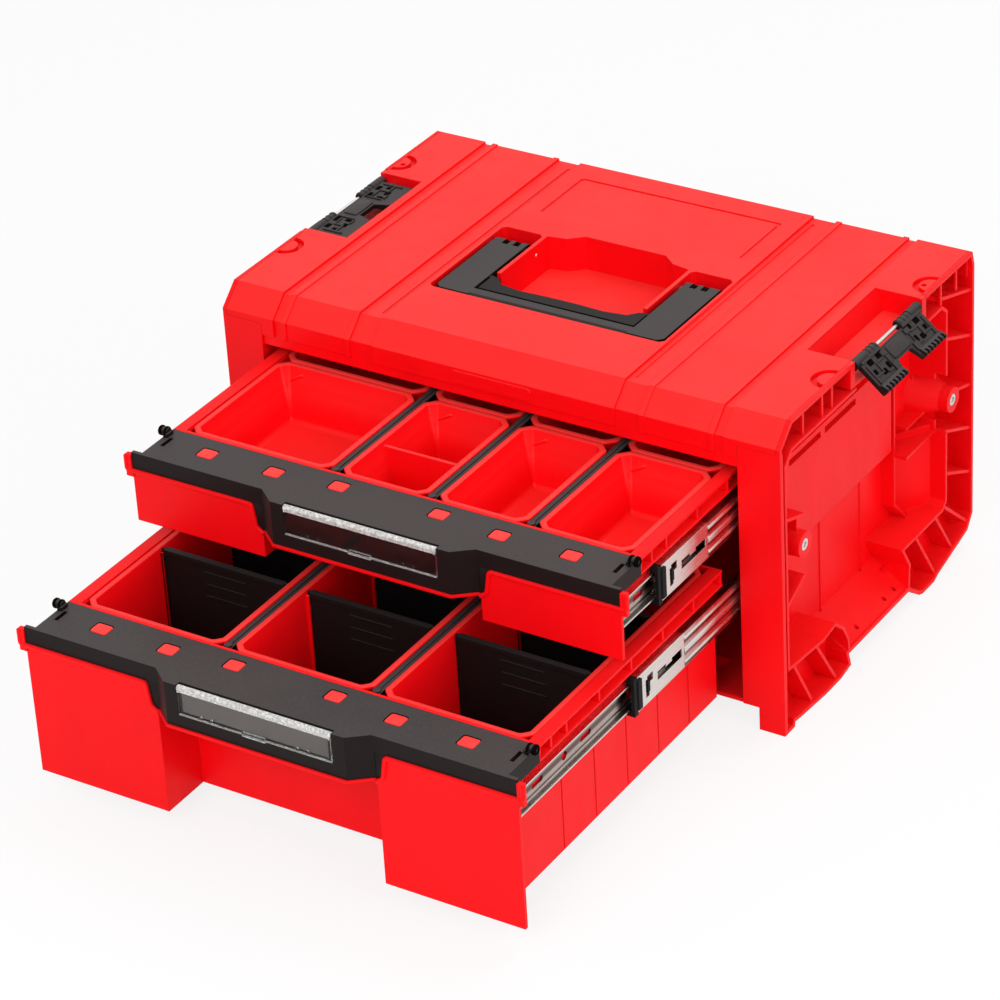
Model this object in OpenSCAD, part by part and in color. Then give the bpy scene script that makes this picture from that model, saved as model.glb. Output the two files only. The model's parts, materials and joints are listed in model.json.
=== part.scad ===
// Portable two drawer tool box: moulded cabinet, ball bearing slides, bins, folding handle.
// Frame: +X right, front faces -Y, +Z up, origin on the floor plane under the cabinet centre.
// Rest pose is the photographed pose: both drawers pulled out, right stacking latch swung out.

/* [Cabinet] */
// overall width across the side rims
body_w = 450; // [420:5:520]
// overall depth from pillar face to back
body_d = 288; // [276:2:330]
// overall height without the handle raised
body_h = 242; // [232:1:270]
// moulding wall thickness
wall_t = 3; // [2.4:0.2:3.6]
// width of each front pillar
pillar_w = 32.5; // [30:0.5:36]
// height of the underside above the ground
floor_z = 18; // [16:1:22]
// depth of the front top chamfer
chamfer_y = 16.5; // [12:0.5:20]
// height of the front top chamfer
chamfer_z = 15; // [12:0.5:18]
// height of the front lip from the top down to the drawer opening
lip_h = 37; // [35:0.5:42]

/* [Side ribs] */
// thickness of the ribs in the side panels
rib_t = 2.4; // [1.8:0.2:3]
// distance of the inner rib ring from the back edge
ring_in = 42; // [38:1:46]
// height of the screw bosses above the ground
boss_z = 137; // [125:1:145]
// distance of the screw bosses from the front and back edges
boss_in = 33; // [30:1:38]
// radius of the screw bosses
boss_r = 9.5; // [8.5:0.5:10]
// radius of the boss screw shank
screw_r = 2.2; // [1.8:0.1:2.6]

/* [Top] */
// height of the ridges over the channels of the top
ridge_h = 2; // [1:0.5:2.5]
// half distance of the outer ridges
ridge_x = 173; // [168:1:176]
// half distance of the inner ridges
inner_x = 101; // [100:1:106]
// depth of the handle well
well_depth = 26.5; // [24:0.5:28]

/* [Handle] */
// overall width of the handle
handle_w = 185; // [176:1:188]
// length of the handle from pivot to grip front
handle_l = 81.5; // [76:0.5:84]
// width of each handle arm
arm_w = 27; // [24:1:28]
// thickness of the handle
handle_t = 12; // [10:0.5:12]
// radius of the handle pivot pins
pivot_r = 2.5; // [2:0.1:3]

/* [Stacking latches] */
// width of each latch
latch_w = 96; // [90:1:104]
// length of each latch from its pin
latch_l = 29.5; // [27:0.5:30]
// thickness of the latch plate
latch_t = 3.5; // [3:0.25:4]
// radius of the latch pin
latch_pin_r = 1.3; // [1.1:0.1:1.4]
// angle of the right latch below the horizontal
latch_open = 40; // [0:5:50]

/* [Drawers] */
// pull-out of the upper drawer in the photograph
upper_open = 153.5; // [120:1:180]
// pull-out of the lower drawer in the photograph
lower_open = 285.5; // [240:1:285.5]
// height of the upper drawer front
upper_h = 54; // [52:1:60]
// gap between the two drawer fronts
front_gap = 12.5; // [11:0.5:14]
// clearance over the upper drawer
top_gap = 7; // [6.5:0.5:9]
// moulding thickness of the trays
tray_t = 2.5; // [2:0.1:3]
// depth of the front blocks ahead of the tray
block_d = 39.5; // [36:0.5:42]
// half width of the finger recess between the blocks
pull_x = 87; // [80:1:90]
// bulge of the centre pull ahead of the blocks
bulge = 11; // [8:0.5:13]
// height of the cap face over the blocks
cap_face = 13; // [12:0.5:14]
// height of the cap face at the centre pull
pull_face = 33; // [30:1:34]

/* [Bins] */
// wall thickness of the bins
bin_t = 1.6; // [1.2:0.1:2]
// width of the rim around each bin
bin_rim = 3; // [2.4:0.2:3.4]
// corner chamfer of the bins
bin_c = 7; // [5:0.5:9]
// share of the upper row taken by the wide bin
wide_share = 0.342; // [0.32:0.005:0.36]
// width of the dark strips between the bins
strip_w = 7; // [6:0.5:8]

/* [Slides] */
// space between tray side and cabinet wall
slide_w = 13; // [12.6:0.1:13.4]
// height of the cabinet member
cab_h = 35.6; // [34:0.2:36]
// height of the middle member
mid_h = 27; // [26:0.2:28]
// height of the drawer member
drw_h = 20; // [18:0.2:21]
// sheet thickness of the slide members
steel_t = 1.2; // [1:0.1:1.4]
// share of the upper drawer travel taken by its middle members
upper_share = 0.66; // [0.5:0.01:0.66]
// share of the lower drawer travel taken by its middle members
lower_share = 0.48; // [0.45:0.01:0.55]

/* [Label covers] */
// width of the clear label covers
label_w = 121; // [110:1:124]
// height of the clear label covers
label_h = 20; // [17:0.5:22]
// radius of the label cover hinge barrel
label_r = 2.2; // [1.8:0.1:2.4]

/* [Hidden] */
$fn = 32;
fit = 0.2;                                 // seat clearance between pieces
run = 0.05;                                // running clearance of pins in their bores
hw = body_w / 2;
hd = body_d / 2;
open_x = hw - pillar_w;                    // half width of the drawer opening
wall_x = open_x + wall_t;                  // outer face of the recessed side wall
rim_in = hw - wall_t;                      // inner face of the side rim
open_top = body_h - lip_h;                 // top of the drawer opening
deck_z = floor_z + wall_t;                 // inside floor of the cabinet
foot_x = hw - 20;                          // inner face of the feet
pan_z = floor_z - 8;                       // underside of the front pan
latch_y = 12.5;                            // centre of the latch recess along Y
boss_y = hd - boss_in;                     // screw bosses along Y
latch_x = hw - 2.6;                        // latch pin position
latch_z = body_h - 5.5;                    // latch pin height
latch_floor = body_h - 16.5;               // floor of the latch recess
latch_h = latch_w / 2 + 2;                 // half length of the latch recess
latch_in = latch_x - latch_l - 4.4;        // inner wall of the latch recess
mark_y = 67;                               // stacking recesses along Y
mark_d = 3.6;                              // depth of the stacking recesses
lug_t = 6;                                 // length of the latch pin lugs
foot_w = latch_w / 2 - 4;                  // half width of the latch plate
notch_w = 13.5;                            // half width of the notch between the feet
notch_d = 11.5;                            // depth of that notch
comb_p = (foot_w - notch_w - 1.8) / 6;     // pitch of the latch combs
wall_top = latch_floor - wall_t - fit;     // top of the recessed side walls
ring_y = hd - ring_in;                     // rear side of the inner rib ring
ring_z = 52;                               // lower side of the inner rib ring
field_z = 121;                             // lower edge of the blank field
field_t = 11;                              // thickness of the blank field over the wall
field_y = 72;                              // half length of the recessed flat field
// handle
arm_x = handle_w / 2 - arm_w;              // inner side of the handle arms
slot_out = handle_w / 2 + 3;               // outer side of the arm slots
slot_in = arm_x - 4;                       // inner side of the arm slots
pivot_y = 12;                              // handle pivot
pivot_z = body_h - handle_t / 2 - 1.2;
slot_back = pivot_y + 16.5;                // rear end of the arm slots
slot_front = pivot_y - handle_l - 3.5;     // front end of the handle recess
slot_floor = pivot_z - handle_t / 2 - 1.8;
well_z = body_h - well_depth;              // floor of the handle well
well_x = slot_in - wall_t;                 // half width of the handle well
well_back = slot_back + 11.5;
// drawers, in closed position: local Y as in the cabinet
tray_x = open_x - slide_w;                 // outer half width of the trays
rim_x = tray_x + 7;                        // rim flange half width
plate_t = 3;                               // front plate thickness
front_y = -hd - 0.5 - plate_t;             // front plane of the closed drawers
tray_y = front_y + block_d;                // outer face of the tray front wall
tray_b = hd - 16;                          // outer face of the tray rear wall
front_hx = open_x + 1.5;                   // half width of the front plates
flare_x = front_hx + 5;                    // half width of the flared top corners
upper_top = open_top - top_gap;
upper_skirt = upper_top - upper_h;
lower_top = upper_skirt - front_gap;
lower_skirt = floor_z - 2.4;
skirt_h = 10.5;                            // skirt below the tray floor
skirt_x = tray_x - 20;                     // half width of the apron skirt
upper_floor = upper_skirt + skirt_h - 2;
lower_floor = lower_skirt + skirt_h + 1;
rim_h = 12.6;                              // height of the pocketed rim
rib_0 = 33;                                // first full rib of the rim behind the tray front
rib_p = 41;                                // pitch of the rim ribs and side lines
snap_w = 10.5;                             // width of the snap posts
snap_d = 6.5;                              // depth of the snap posts
ear_y = front_y + 30.5;                    // snap ears of the caps along Y
cap_t = 2.5;                               // cap shell thickness
shelf_z = 5.5;                             // shelf below the cap top
// slides
rail_y0 = -hd + 4;
rail_y1 = hd - 14;
upper_slide = upper_top - rim_h - 0.7 - cab_h / 2;
lower_slide = lower_top - rim_h - 0.7 - cab_h / 2;
lip_d = 5.8;                               // depth of the drawer member lips
end_l = 3.2;                               // plastic ahead of the middle members
mid_x = open_x - 5.4;                      // inner face of the middle member web
// bins
in_x = tray_x - tray_t;                    // inner half width of the trays
in_y0 = tray_y + tray_t;                   // inner front of the trays
in_y1 = tray_b - tray_t;                   // inner rear of the trays
in_l = in_y1 - in_y0;
row_l = in_l / 2;
u_wide = 2 * in_x * wide_share;            // module of the wide upper bin
u_mod = (2 * in_x - u_wide) / 3;           // module of the other upper bins
l_mod = 2 * in_x / 3;                      // module of the lower bins
div_t = 2;                                 // divider thickness
div_a = in_y0 + in_l * 0.372;              // front dividers
div_b = in_y0 + in_l * 0.705;              // rear dividers
red = "#e3161d";
dark = "#3b3b3d";
steel = "#c9c6c0";

// ---------- helpers ----------
// extrudes a (y, z) drawing from x0 to x1
module along_x(x0, x1)
  translate([x0, 0, 0])
    rotate([90, 0, 90])
      linear_extrude(x1 - x0)
        children();

// extrudes an (x, z) drawing from y0 to y1
module along_y(y0, y1)
  translate([0, y1, 0])
    rotate([90, 0, 0])
      linear_extrude(y1 - y0)
        children();

// extrudes an (x, y) drawing from z0 to z1
module along_z(z0, z1)
  translate([0, 0, z0])
    linear_extrude(z1 - z0)
      children();

// box between two corners
module span(a, b)
  translate(a)
    cube(b - a);

// rectangle between two corners
module rect(a, b)
  translate(a)
    square(b - a);

// rectangle with chamfered corners
module rect_c(a, b, c)
  polygon([
    [a.x + c, a.y], [b.x - c, a.y], [b.x, a.y + c], [b.x, b.y - c],
    [b.x - c, b.y], [a.x + c, b.y], [a.x, b.y - c], [a.x, a.y + c]
  ]);

// bar of thickness t between two points of a drawing
module bar(p, q, t) {
  l = norm(q - p);
  a = atan2(q.y - p.y, q.x - p.x);
  translate(p)
    rotate(a)
      translate([0, -t / 2])
        square([l, t]);
}

// child and its mirror image
module both() {
  children();
  mirror([1, 0, 0])
    children();
}

// right hand part, or its mirror image on the left for s = -1
module handed(s)
  if (s > 0)
    children();
  else
    mirror([1, 0, 0])
      children();

// cylinder along X
module rod_x(x0, x1, y, z, r)
  translate([x0, y, z])
    rotate([0, 90, 0])
      cylinder(h = x1 - x0, r = r);

// cylinder along Y
module rod_y(y0, y1, x, z, r)
  translate([x, y1, z])
    rotate([90, 0, 0])
      cylinder(h = y1 - y0, r = r);

// ---------- side panels ----------
// outline of a side with feet, back chamfer and front chamfer
module side_outline()
  polygon([
    [-hd, 0], [-hd + 14, 0], [-hd + 15, 4], [-hd + 22, 3], [-hd + 60, 0], [-hd + 82, 0],
    [-hd + 97, 3], [-hd + 94, 14], [42, 14], [58, 2], [64, 0], [hd - 62, 0], [hd - 56, 3],
    [hd - 8, 15], [hd, 26], [hd, body_h - 11], [hd - 3, body_h], [-hd + chamfer_y, body_h],
    [-hd, body_h - chamfer_z]
  ]);

// inner ring that the radial ribs run to
module ring_outline()
  polygon([
    [-hd + 6, 50], [-hd + 58, 45], [-hd + 74, 48], [-hd + 85, 39], [-hd + 92, 27],
    [-hd + 94, 15], [43, 15], [44.5, 36], [35, ring_z], [ring_y - 6, ring_z], [ring_y, ring_z + 6],
    [ring_y, 214], [ring_y - 8, 221], [-hd + 16, 221], [-hd + 6, 211]
  ]);

// radial and transverse ribs between ring and rim
module rim_ribs() {
  bar([ring_y - 3, ring_z + 2], [hd - 4, 19], rib_t);
  bar([ring_y - 16, ring_z], [hd - 30, 10], rib_t);
  bar([ring_y - 47, ring_z], [hd - 58, 4], rib_t);
  bar([ring_y, 115], [hd - 1, 98], rib_t);
  bar([ring_y, 80], [hd - 1, 61], rib_t);
  bar([boss_y, boss_z + 6], [hd - 1, boss_z - 3], rib_t);
  bar([ring_y, 190], [hd - 1, 174], rib_t);
  bar([ring_y - 8, 226], [hd - 1, 211], rib_t);
  bar([ring_y + 16, 222], [ring_y + 16, body_h - 1], rib_t);
  bar([ring_y - 36, 219], [ring_y - 36, body_h - 1], rib_t);
  bar([ring_y - 8, 219], [ring_y - 8, body_h - 1], rib_t);
  bar([-hd + 35, 219], [-hd + 35, body_h - 1], rib_t);
  bar([-hd + 62, 219], [-hd + 62, body_h - 1], rib_t);
  bar([-hd + 76, 219], [-hd + 76, body_h - 1], rib_t);
  bar([-hd + 48, 47], [-hd + 77, 3], rib_t);
  bar([-hd + 16, 49], [-hd + 41, 6], rib_t);
  bar([-hd + 2, 96], [-hd + 34, 112], rib_t);
  bar([-hd + 2, 170], [-hd + 34, 160], rib_t);
}

// screw boss: cone from the wall, wider there by flare, out to a straight neck at the rim
module boss(y, flare) {
  rod_x(hw - 8, hw, y, boss_z, boss_r);
  translate([wall_x - 1, y, boss_z])
    rotate([0, 90, 0])
      cylinder(h = hw - 6.5 - wall_x, r1 = boss_r + flare, r2 = boss_r);
}

// ramp of a pocket: wedge from the wall out to the ring, (x, y) triangle over z0..z1
module pocket_ramp(y0, y1, z0, z1)
  along_z(z0, z1)
    polygon([[wall_x - 1, y0], [wall_x, y0], [hw - 11, y1], [hw - 11, y1 + 2], [wall_x - 1, y1 + 2]]);

// complete right hand side panel
module side_solid() {
  difference() {
    union() {
      // recessed wall with the drawer slides behind it
      along_x(open_x, wall_x)
        intersection() {
          side_outline();
          rect([-hd, floor_z - 4], [hd, wall_top]);
        }
      // outer rim
      along_x(open_x + 1, hw)
        difference() {
          side_outline();
          offset(delta = -wall_t)
            side_outline();
          rect([-hd - 1, wall_top], [-hd + 40, open_top - 2]);
        }
      // inner ring, lowered beside the rear boss, and ribs
      difference() {
        along_x(wall_x - 1, hw)
          difference() {
            ring_outline();
            offset(delta = -rib_t)
              ring_outline();
          }
        span([hw - 9, ring_y - rib_t - 1, boss_z - 22], [hw + 1, ring_y + 1, boss_z + 25]);
        span([wall_x + 3, ring_y - rib_t - 1, boss_z - 14], [hw + 1, ring_y + 1, boss_z + 20]);
      }
      along_x(wall_x - 1, hw - 1.2)
        intersection() {
          side_outline();
          rim_ribs();
        }
      // front pillar
      span([open_x, -hd, 0], [hw, -hd + wall_t + 1, body_h - chamfer_z - 4]);
      // foot inner faces
      along_x(foot_x, foot_x + wall_t)
        intersection() {
          side_outline();
          union() {
            rect([-hd, 0], [-hd + 97, 30]);
            rect([36, 0], [hd, 30]);
          }
        }
      // flat name field, left blank
      along_x(wall_x - 1, wall_x + field_t)
        polygon([
          [-hd + 7, boss_z + 16], [-boss_y + 12, boss_z + 16], [-boss_y + 19, field_z], [field_y - 21, field_z],
          [field_y - 21, field_z + 74], [-hd + 7, field_z + 74]
        ]);
      // ramp under the field down to the lower edge
      along_y(-hd + 92, 44)
        polygon([[wall_x - 1, 14], [hw, 14], [hw, 16], [wall_x, 35], [wall_x - 1, 35]]);
      pocket_ramp(field_y, ring_y, ring_z + 1, boss_z - boss_r - 8);
      // transverse rib and webs around the rear pocket
      span([wall_x - 1, field_y - 16, boss_z - 24], [hw - 9, ring_y, boss_z - 24 + rib_t]);
      span([wall_x - 1, field_y - 17, ring_z + 20], [wall_x + field_t, field_y - 17 + rib_t, 218]);
      along_x(wall_x - 1, wall_x + field_t)
        bar([field_y - 16, ring_z + 22], [field_y + 4, ring_z], rib_t);
      span([wall_x - 1, -hd + 34, 48], [wall_x + 9, -hd + 34 + rib_t, 215]);
      boss(boss_y, 11);
      boss(-boss_y, 2);
      // webs from the bosses to the ring
      span([wall_x - 1, field_y, boss_z - boss_r - 1], [wall_x + 12, boss_y, boss_z - boss_r + 1]);
      span([wall_x - 1, -boss_y - 1, boss_z], [hw - 6, -boss_y - 1 + rib_t, boss_z + 20]);
    }
    // latch opening through rim and ring
    span([open_x - 1, latch_y - latch_h - lug_t - fit, wall_top],
         [hw + 1, latch_y + latch_h + lug_t + fit, body_h + 1]);
    // space of the top cover
    span([open_x - 1, -hd - 1, wall_top], [rim_in, hd + 1, body_h + 1]);
    // finger scoop above the blank field below the latch
    along_y(latch_y - latch_w / 2, latch_y + latch_w / 2)
      polygon([
        [hw + 1, wall_top + 1], [hw - 9, wall_top + 1], [hw - 4, wall_top - 16], [hw + 1, wall_top - 24]
      ]);
    // slots along the upper edge of the field
    for (y = [-hd + 46, -hd + 97])
      span([wall_x + 2, y, field_z + 65], [wall_x + field_t + 1, y + 45, field_z + 70]);
    // shallow upright grooves of the field
    for (y = [-38, 22])
      span([wall_x - 0.8, y - 1.6, 34], [wall_x + 1, y + 1.6, field_z - 6]);
    // strap holes in the ramp
    for (y = [-41, -26, 16, 31])
      translate([hw - 7, y, 10])
        cylinder(h = 16, r = 1.8);
    // screw bores
    for (y = [-boss_y, boss_y]) {
      rod_x(open_x - 1, hw + 1, y, boss_z, screw_r + run);
      rod_x(hw - 2.4, hw + 1, y, boss_z, screw_r * 2 + 0.2);
    }
    // openings that take the floor and back panel
    span([open_x - 1, -hd + wall_t + 2, -1], [foot_x, hd - wall_t - 2, floor_z]);
    // slanted inner corner of the pillar foot
    span([open_x - 1, -hd - 1, -1], [foot_x, -hd + 30, floor_z]);
  }
}

// ---------- top cover ----------
// (y, z) section of the top shell, lowered by d for the channels
module top_section(d)
  difference() {
    polygon([
      [-hd + d, open_top], [-hd + d, body_h - chamfer_z - d / 2],
      [-hd + chamfer_y + d / 2, body_h - d], [hd - 3, body_h - d], [hd, body_h - 11], [hd, wall_top - 4],
      [hd - wall_t - 2, wall_top - 4], [hd - wall_t - 2, wall_top], [-hd + wall_t + 2, wall_top],
      [-hd + wall_t + 2, open_top]
    ]);
    polygon([
      [-hd + wall_t + 2, open_top - 1], [-hd + wall_t + 2, body_h - chamfer_z - wall_t],
      [-hd + chamfer_y + wall_t / 2 + 2, body_h - wall_t - 2], [hd - wall_t - 3, body_h - wall_t - 2],
      [hd - wall_t - 3, wall_top - 5], [hd - wall_t - 6, wall_top - 5], [hd - wall_t - 6, open_top - 1]
    ]);
  }

// one strip of the top from x0 to x1, both sides
module top_strip(x0, x1, d)
  both()
    along_x(x0, x1)
      top_section(d);

// handle well outline seen from above
module well_plan()
  polygon([
    [-well_x, pivot_y - handle_l + 9], [well_x, pivot_y - handle_l + 9], [well_x, slot_back],
    [44, slot_back + 2.5], [33, well_back], [-33, well_back], [-44, slot_back + 2.5], [-well_x, slot_back]
  ]);

// handle recess seen from above: arm slots and grip trough
module slot_plan() {
  both()
    rect_c([slot_in, slot_front], [slot_out, slot_back], 3);
  rect([-slot_in - 4, slot_front], [slot_in + 4, pivot_y - handle_l + 34]);
}

// latch recess with a slanted inner wall
module latch_pocket()
  along_y(latch_y - latch_h, latch_y + latch_h)
    polygon([
      [latch_in, body_h + 1], [latch_in, body_h - 1], [latch_in + 6, latch_floor], [hw + 1, latch_floor],
      [hw + 1, body_h + 1]
    ]);

// C-shaped recess for stacked boxes, at (x, y)
module stack_mark(y)
  translate([rim_in - 0.5, y, body_h - mark_d])
    difference() {
      cylinder(h = mark_d + 1, r = 13);
      translate([0, 0, -1])
        cylinder(h = mark_d + 3, r = 8.5);
      translate([0, -20, -1])
        cube([20, 40, mark_d + 3]);
    }

module top_cover()
  color(red)
    difference() {
      union() {
        along_x(-inner_x + 3, inner_x - 3)
          top_section(0);
        top_strip(inner_x - 3.1, inner_x + 16, ridge_h);
        top_strip(inner_x + 15.9, inner_x + 20, 0);
        top_strip(inner_x + 19.9, ridge_x - 2, ridge_h / 2);
        top_strip(ridge_x - 2.1, ridge_x + 2, 0);
        top_strip(ridge_x + 1.9, ridge_x + 9, ridge_h);
        // outer bands between the side rims
        both()
          intersection() {
            along_x(ridge_x + 8.9, rim_in - fit)
              top_section(0);
            union() {
              span([0, -hd - 1, 0], [open_x - fit, hd + 1, body_h + 1]);
              span([open_x - 1, -hd - 1, wall_top + fit], [hw, hd + 1, body_h + 1]);
            }
          }
        // latch housings with pin lugs
        both() {
          span([latch_in - wall_t, latch_y - latch_h - lug_t, wall_top + fit],
               [hw, latch_y + latch_h + lug_t, body_h - 0.4]);
        }
        // handle recess and well bodies
        along_z(slot_floor - wall_t, body_h - 1)
          offset(delta = wall_t)
            slot_plan();
        along_z(well_z - wall_t, body_h - 1)
          offset(delta = wall_t)
            well_plan();
        // stiffening ribs under the deck
        both() {
          span([inner_x + 30, -hd + 18, body_h - 15], [inner_x + 32, hd - 8, body_h - 3]);
          span([ridge_x - 20, -hd + 18, body_h - 15], [ridge_x - 18, hd - 8, body_h - 3]);
        }
        // blank plate on the front lip
        along_y(-hd - 0.9, -hd + 1)
          rect_c([-32, body_h - chamfer_z - 12], [32, body_h - chamfer_z - 2], 2);
      }
      // recessed band along the lower lip
      span([-open_x, -hd - 2, open_top - 1], [open_x, -hd + 2, open_top + 8]);
      // latch pockets
      both() {
        latch_pocket();
        rod_y(latch_y - latch_h - lug_t + 1.5, latch_y + latch_h + lug_t - 1.5, latch_x, latch_z,
              latch_pin_r + run);
        stack_mark(-mark_y);
        stack_mark(mark_y + 16);
        // small hole beside the rear recess
        translate([rim_in - 5, mark_y + 14, body_h - mark_d])
          cylinder(h = mark_d + 1, r = 2);
      }
      // handle recess
      along_z(slot_floor, body_h + 1)
        slot_plan();
      along_z(well_z, body_h + 1)
        well_plan();
      // pivot bores, open into the slots on both sides
      both()
        rod_x(slot_in - wall_t + 0.8, slot_out + 2.2, pivot_y, pivot_z, pivot_r + run);
      // shallow frame line on the rear of the top
      along_z(body_h - 1, body_h + 1)
        difference() {
          rect_c([-84, 50], [84, 120], 2);
          rect_c([-81.5, 40], [81.5, 117.5], 2);
          rect([-90, 40], [90, 60]);
        }
      // front lines beside the middle panel
      both()
        span([inner_x + 0.5, -hd + 24, body_h - ridge_h - 0.8], [inner_x + 3, hd - 12, body_h + 1]);
    }

// ---------- back and floor ----------
module back_panel()
  color(red) {
    difference() {
      union() {
        span([-open_x + fit, hd - 6, floor_z + 8], [open_x - fit, hd - 6 + wall_t, wall_top - 4 - fit]);
        // upright ribs and frame outside
        for (x = [-160:40:160])
          span([x - 1.2, hd - 3.5, floor_z + 12], [x + 1.2, hd - 1, wall_top - 10]);
        for (z = [floor_z + 12, 96, 160, wall_top - 12])
          span([-open_x + 8, hd - 3.5, z], [open_x - 8, hd - 1, z + 2.4]);
        // blank field
        span([-70, hd - 3.5, 112], [70, hd - 1.4, 146]);
      }
      for (x = [-open_x + 12.5, open_x - 12.5])
        for (z = [floor_z + 42, wall_top - 32])
          rod_y(hd - 8, hd, x, z, 2);
    }
  }

module base_floor()
  color(red)
    difference() {
      union() {
        span([-open_x + fit, -hd + 1, floor_z], [open_x - fit, hd - 2, deck_z]);
        // lowered pan along the front edge
        span([-skirt_x - 2 - wall_t, -hd + 1, pan_z],
             [skirt_x + 2 + wall_t, tray_y + tray_t + 1.5 + wall_t, deck_z]);
        // joint with the back panel
        span([-open_x + fit, hd - 9.4, floor_z], [open_x - fit, hd - 6 - fit, floor_z + 16]);
        span([-open_x + fit, hd - 9.4, floor_z], [open_x - fit, hd - 2, floor_z + 7.8]);
        // under side ribs
        for (x = [-150:50:150])
          span([x - 1.2, tray_y + 2, floor_z - 7], [x + 1.2, hd - 20, floor_z + 1]);
        for (y = [-80, -40, 0, 60, hd - 30])
          span([-open_x + 12, y - 1.2, floor_z - 7], [open_x - 12, y + 1.2, floor_z + 1]);
        // ridges that keep a stacked box in place
        both()
          span([open_x - 40, -60, floor_z - 12], [open_x - 20, 60, floor_z]);
      }
      both()
        span([open_x - 37, -57, floor_z - 13], [open_x - 23, 57, floor_z - 2]);
      // pan for the skirt of the closed lower drawer
      span([-skirt_x - 2, -hd - 1, pan_z + wall_t], [skirt_x + 2, tray_y + tray_t + 1.5, body_h]);
    }

// ---------- screws and pins ----------
module side_screw(y)
  difference() {
    union() {
      rod_x(open_x + 1, hw - 2, y, boss_z, screw_r);
      rod_x(hw - 2.4, hw - 0.2, y, boss_z, screw_r * 2);
    }
    rod_x(hw - 1.8, hw + 1, y, boss_z, screw_r);
  }

module screw_left_front()
  color(steel)
    handed(-1)
      side_screw(-boss_y);

module screw_left_rear()
  color(steel)
    handed(-1)
      side_screw(boss_y);

module screw_right_front()
  color(steel)
    side_screw(-boss_y);

module screw_right_rear()
  color(steel)
    side_screw(boss_y);

module pivot_pin()
  rod_x(slot_in - wall_t + 1, slot_out + 2, pivot_y, pivot_z, pivot_r);

module pivot_left()
  color(steel)
    handed(-1)
      pivot_pin();

module pivot_right()
  color(steel)
    pivot_pin();

module latch_pin()
  rod_y(latch_y - latch_h - lug_t + 1.7, latch_y + latch_h + lug_t - 1.7, latch_x, latch_z,
        latch_pin_r);

module latch_pin_left()
  color(steel)
    handed(-1)
      latch_pin();

module latch_pin_right()
  color(steel)
    latch_pin();

module side_left()
  color(red)
    handed(-1)
      side_solid();

module side_right()
  color(red)
    side_solid();

// ---------- handle ----------
// U-shaped frame, folded down; local drawing in place
module handle_frame()
  color(dark)
    difference() {
      union() {
        both() {
          // arm: round at the pivot
          along_x(arm_x, handle_w / 2)
            union() {
              translate([pivot_y, pivot_z])
                circle(r = handle_t / 2);
              rect([pivot_y - handle_l + 4, pivot_z - handle_t / 2], [pivot_y, pivot_z + handle_t / 2]);
            }
          // bevelled front corner
          along_z(pivot_z - handle_t / 2, pivot_z + handle_t / 2)
            polygon([
              [arm_x - 1, pivot_y - handle_l], [handle_w / 2 - 4, pivot_y - handle_l],
              [handle_w / 2, pivot_y - handle_l + 4], [handle_w / 2, pivot_y - handle_l + 9],
              [arm_x - 1, pivot_y - handle_l + 9]
            ]);
        }
        // front bar with bevelled upper edge
        along_x(-arm_x - 1, arm_x + 1)
          polygon([
            [pivot_y - handle_l, pivot_z - handle_t / 2], [pivot_y - handle_l + 9, pivot_z - handle_t / 2],
            [pivot_y - handle_l + 9, pivot_z + handle_t / 2], [pivot_y - handle_l + 2, pivot_z + handle_t / 2],
            [pivot_y - handle_l, pivot_z + handle_t / 2 - 2]
          ]);
      }
      // two slots over each hinge block and a stepped rear edge
      both() {
        for (x = [arm_x + 5, arm_x + 14])
          span([x, pivot_y - 5, pivot_z + 3.4], [x + 5, pivot_y + 7, pivot_z + 7]);
        rod_x(arm_x - 1, handle_w / 2 + 1, pivot_y, pivot_z, pivot_r + run);
        // weight saving pockets under the arms
        span([arm_x + 4, pivot_y - handle_l + 14, pivot_z - 7], [handle_w / 2 - 4, pivot_y - 12, pivot_z + 2]);
      }
    }

// grip insert behind the front bar with finger waves
module handle_grip()
  color(dark)
    difference() {
      along_z(pivot_z - handle_t / 2 - 0.8, pivot_z + handle_t / 2 - 0.6)
        polygon([
          [-arm_x + fit, pivot_y - handle_l + 9], [arm_x - fit, pivot_y - handle_l + 9],
          [arm_x - fit, pivot_y - handle_l + 32], [arm_x - 8, pivot_y - handle_l + 30],
          [arm_x - 14, pivot_y - handle_l + 23], [34, pivot_y - handle_l + 20.5],
          [12, pivot_y - handle_l + 21.5], [-12, pivot_y - handle_l + 21.5],
          [-34, pivot_y - handle_l + 20.5], [-arm_x + 14, pivot_y - handle_l + 23],
          [-arm_x + 8, pivot_y - handle_l + 30], [-arm_x + fit, pivot_y - handle_l + 32]
        ]);
      // fine grooves under the fingers
      for (x = [-44:8:44])
        span([x - 0.7, pivot_y - handle_l + 12, pivot_z - handle_t],
             [x + 0.7, pivot_y - handle_l + 26, pivot_z - handle_t / 2]);
    }

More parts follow.
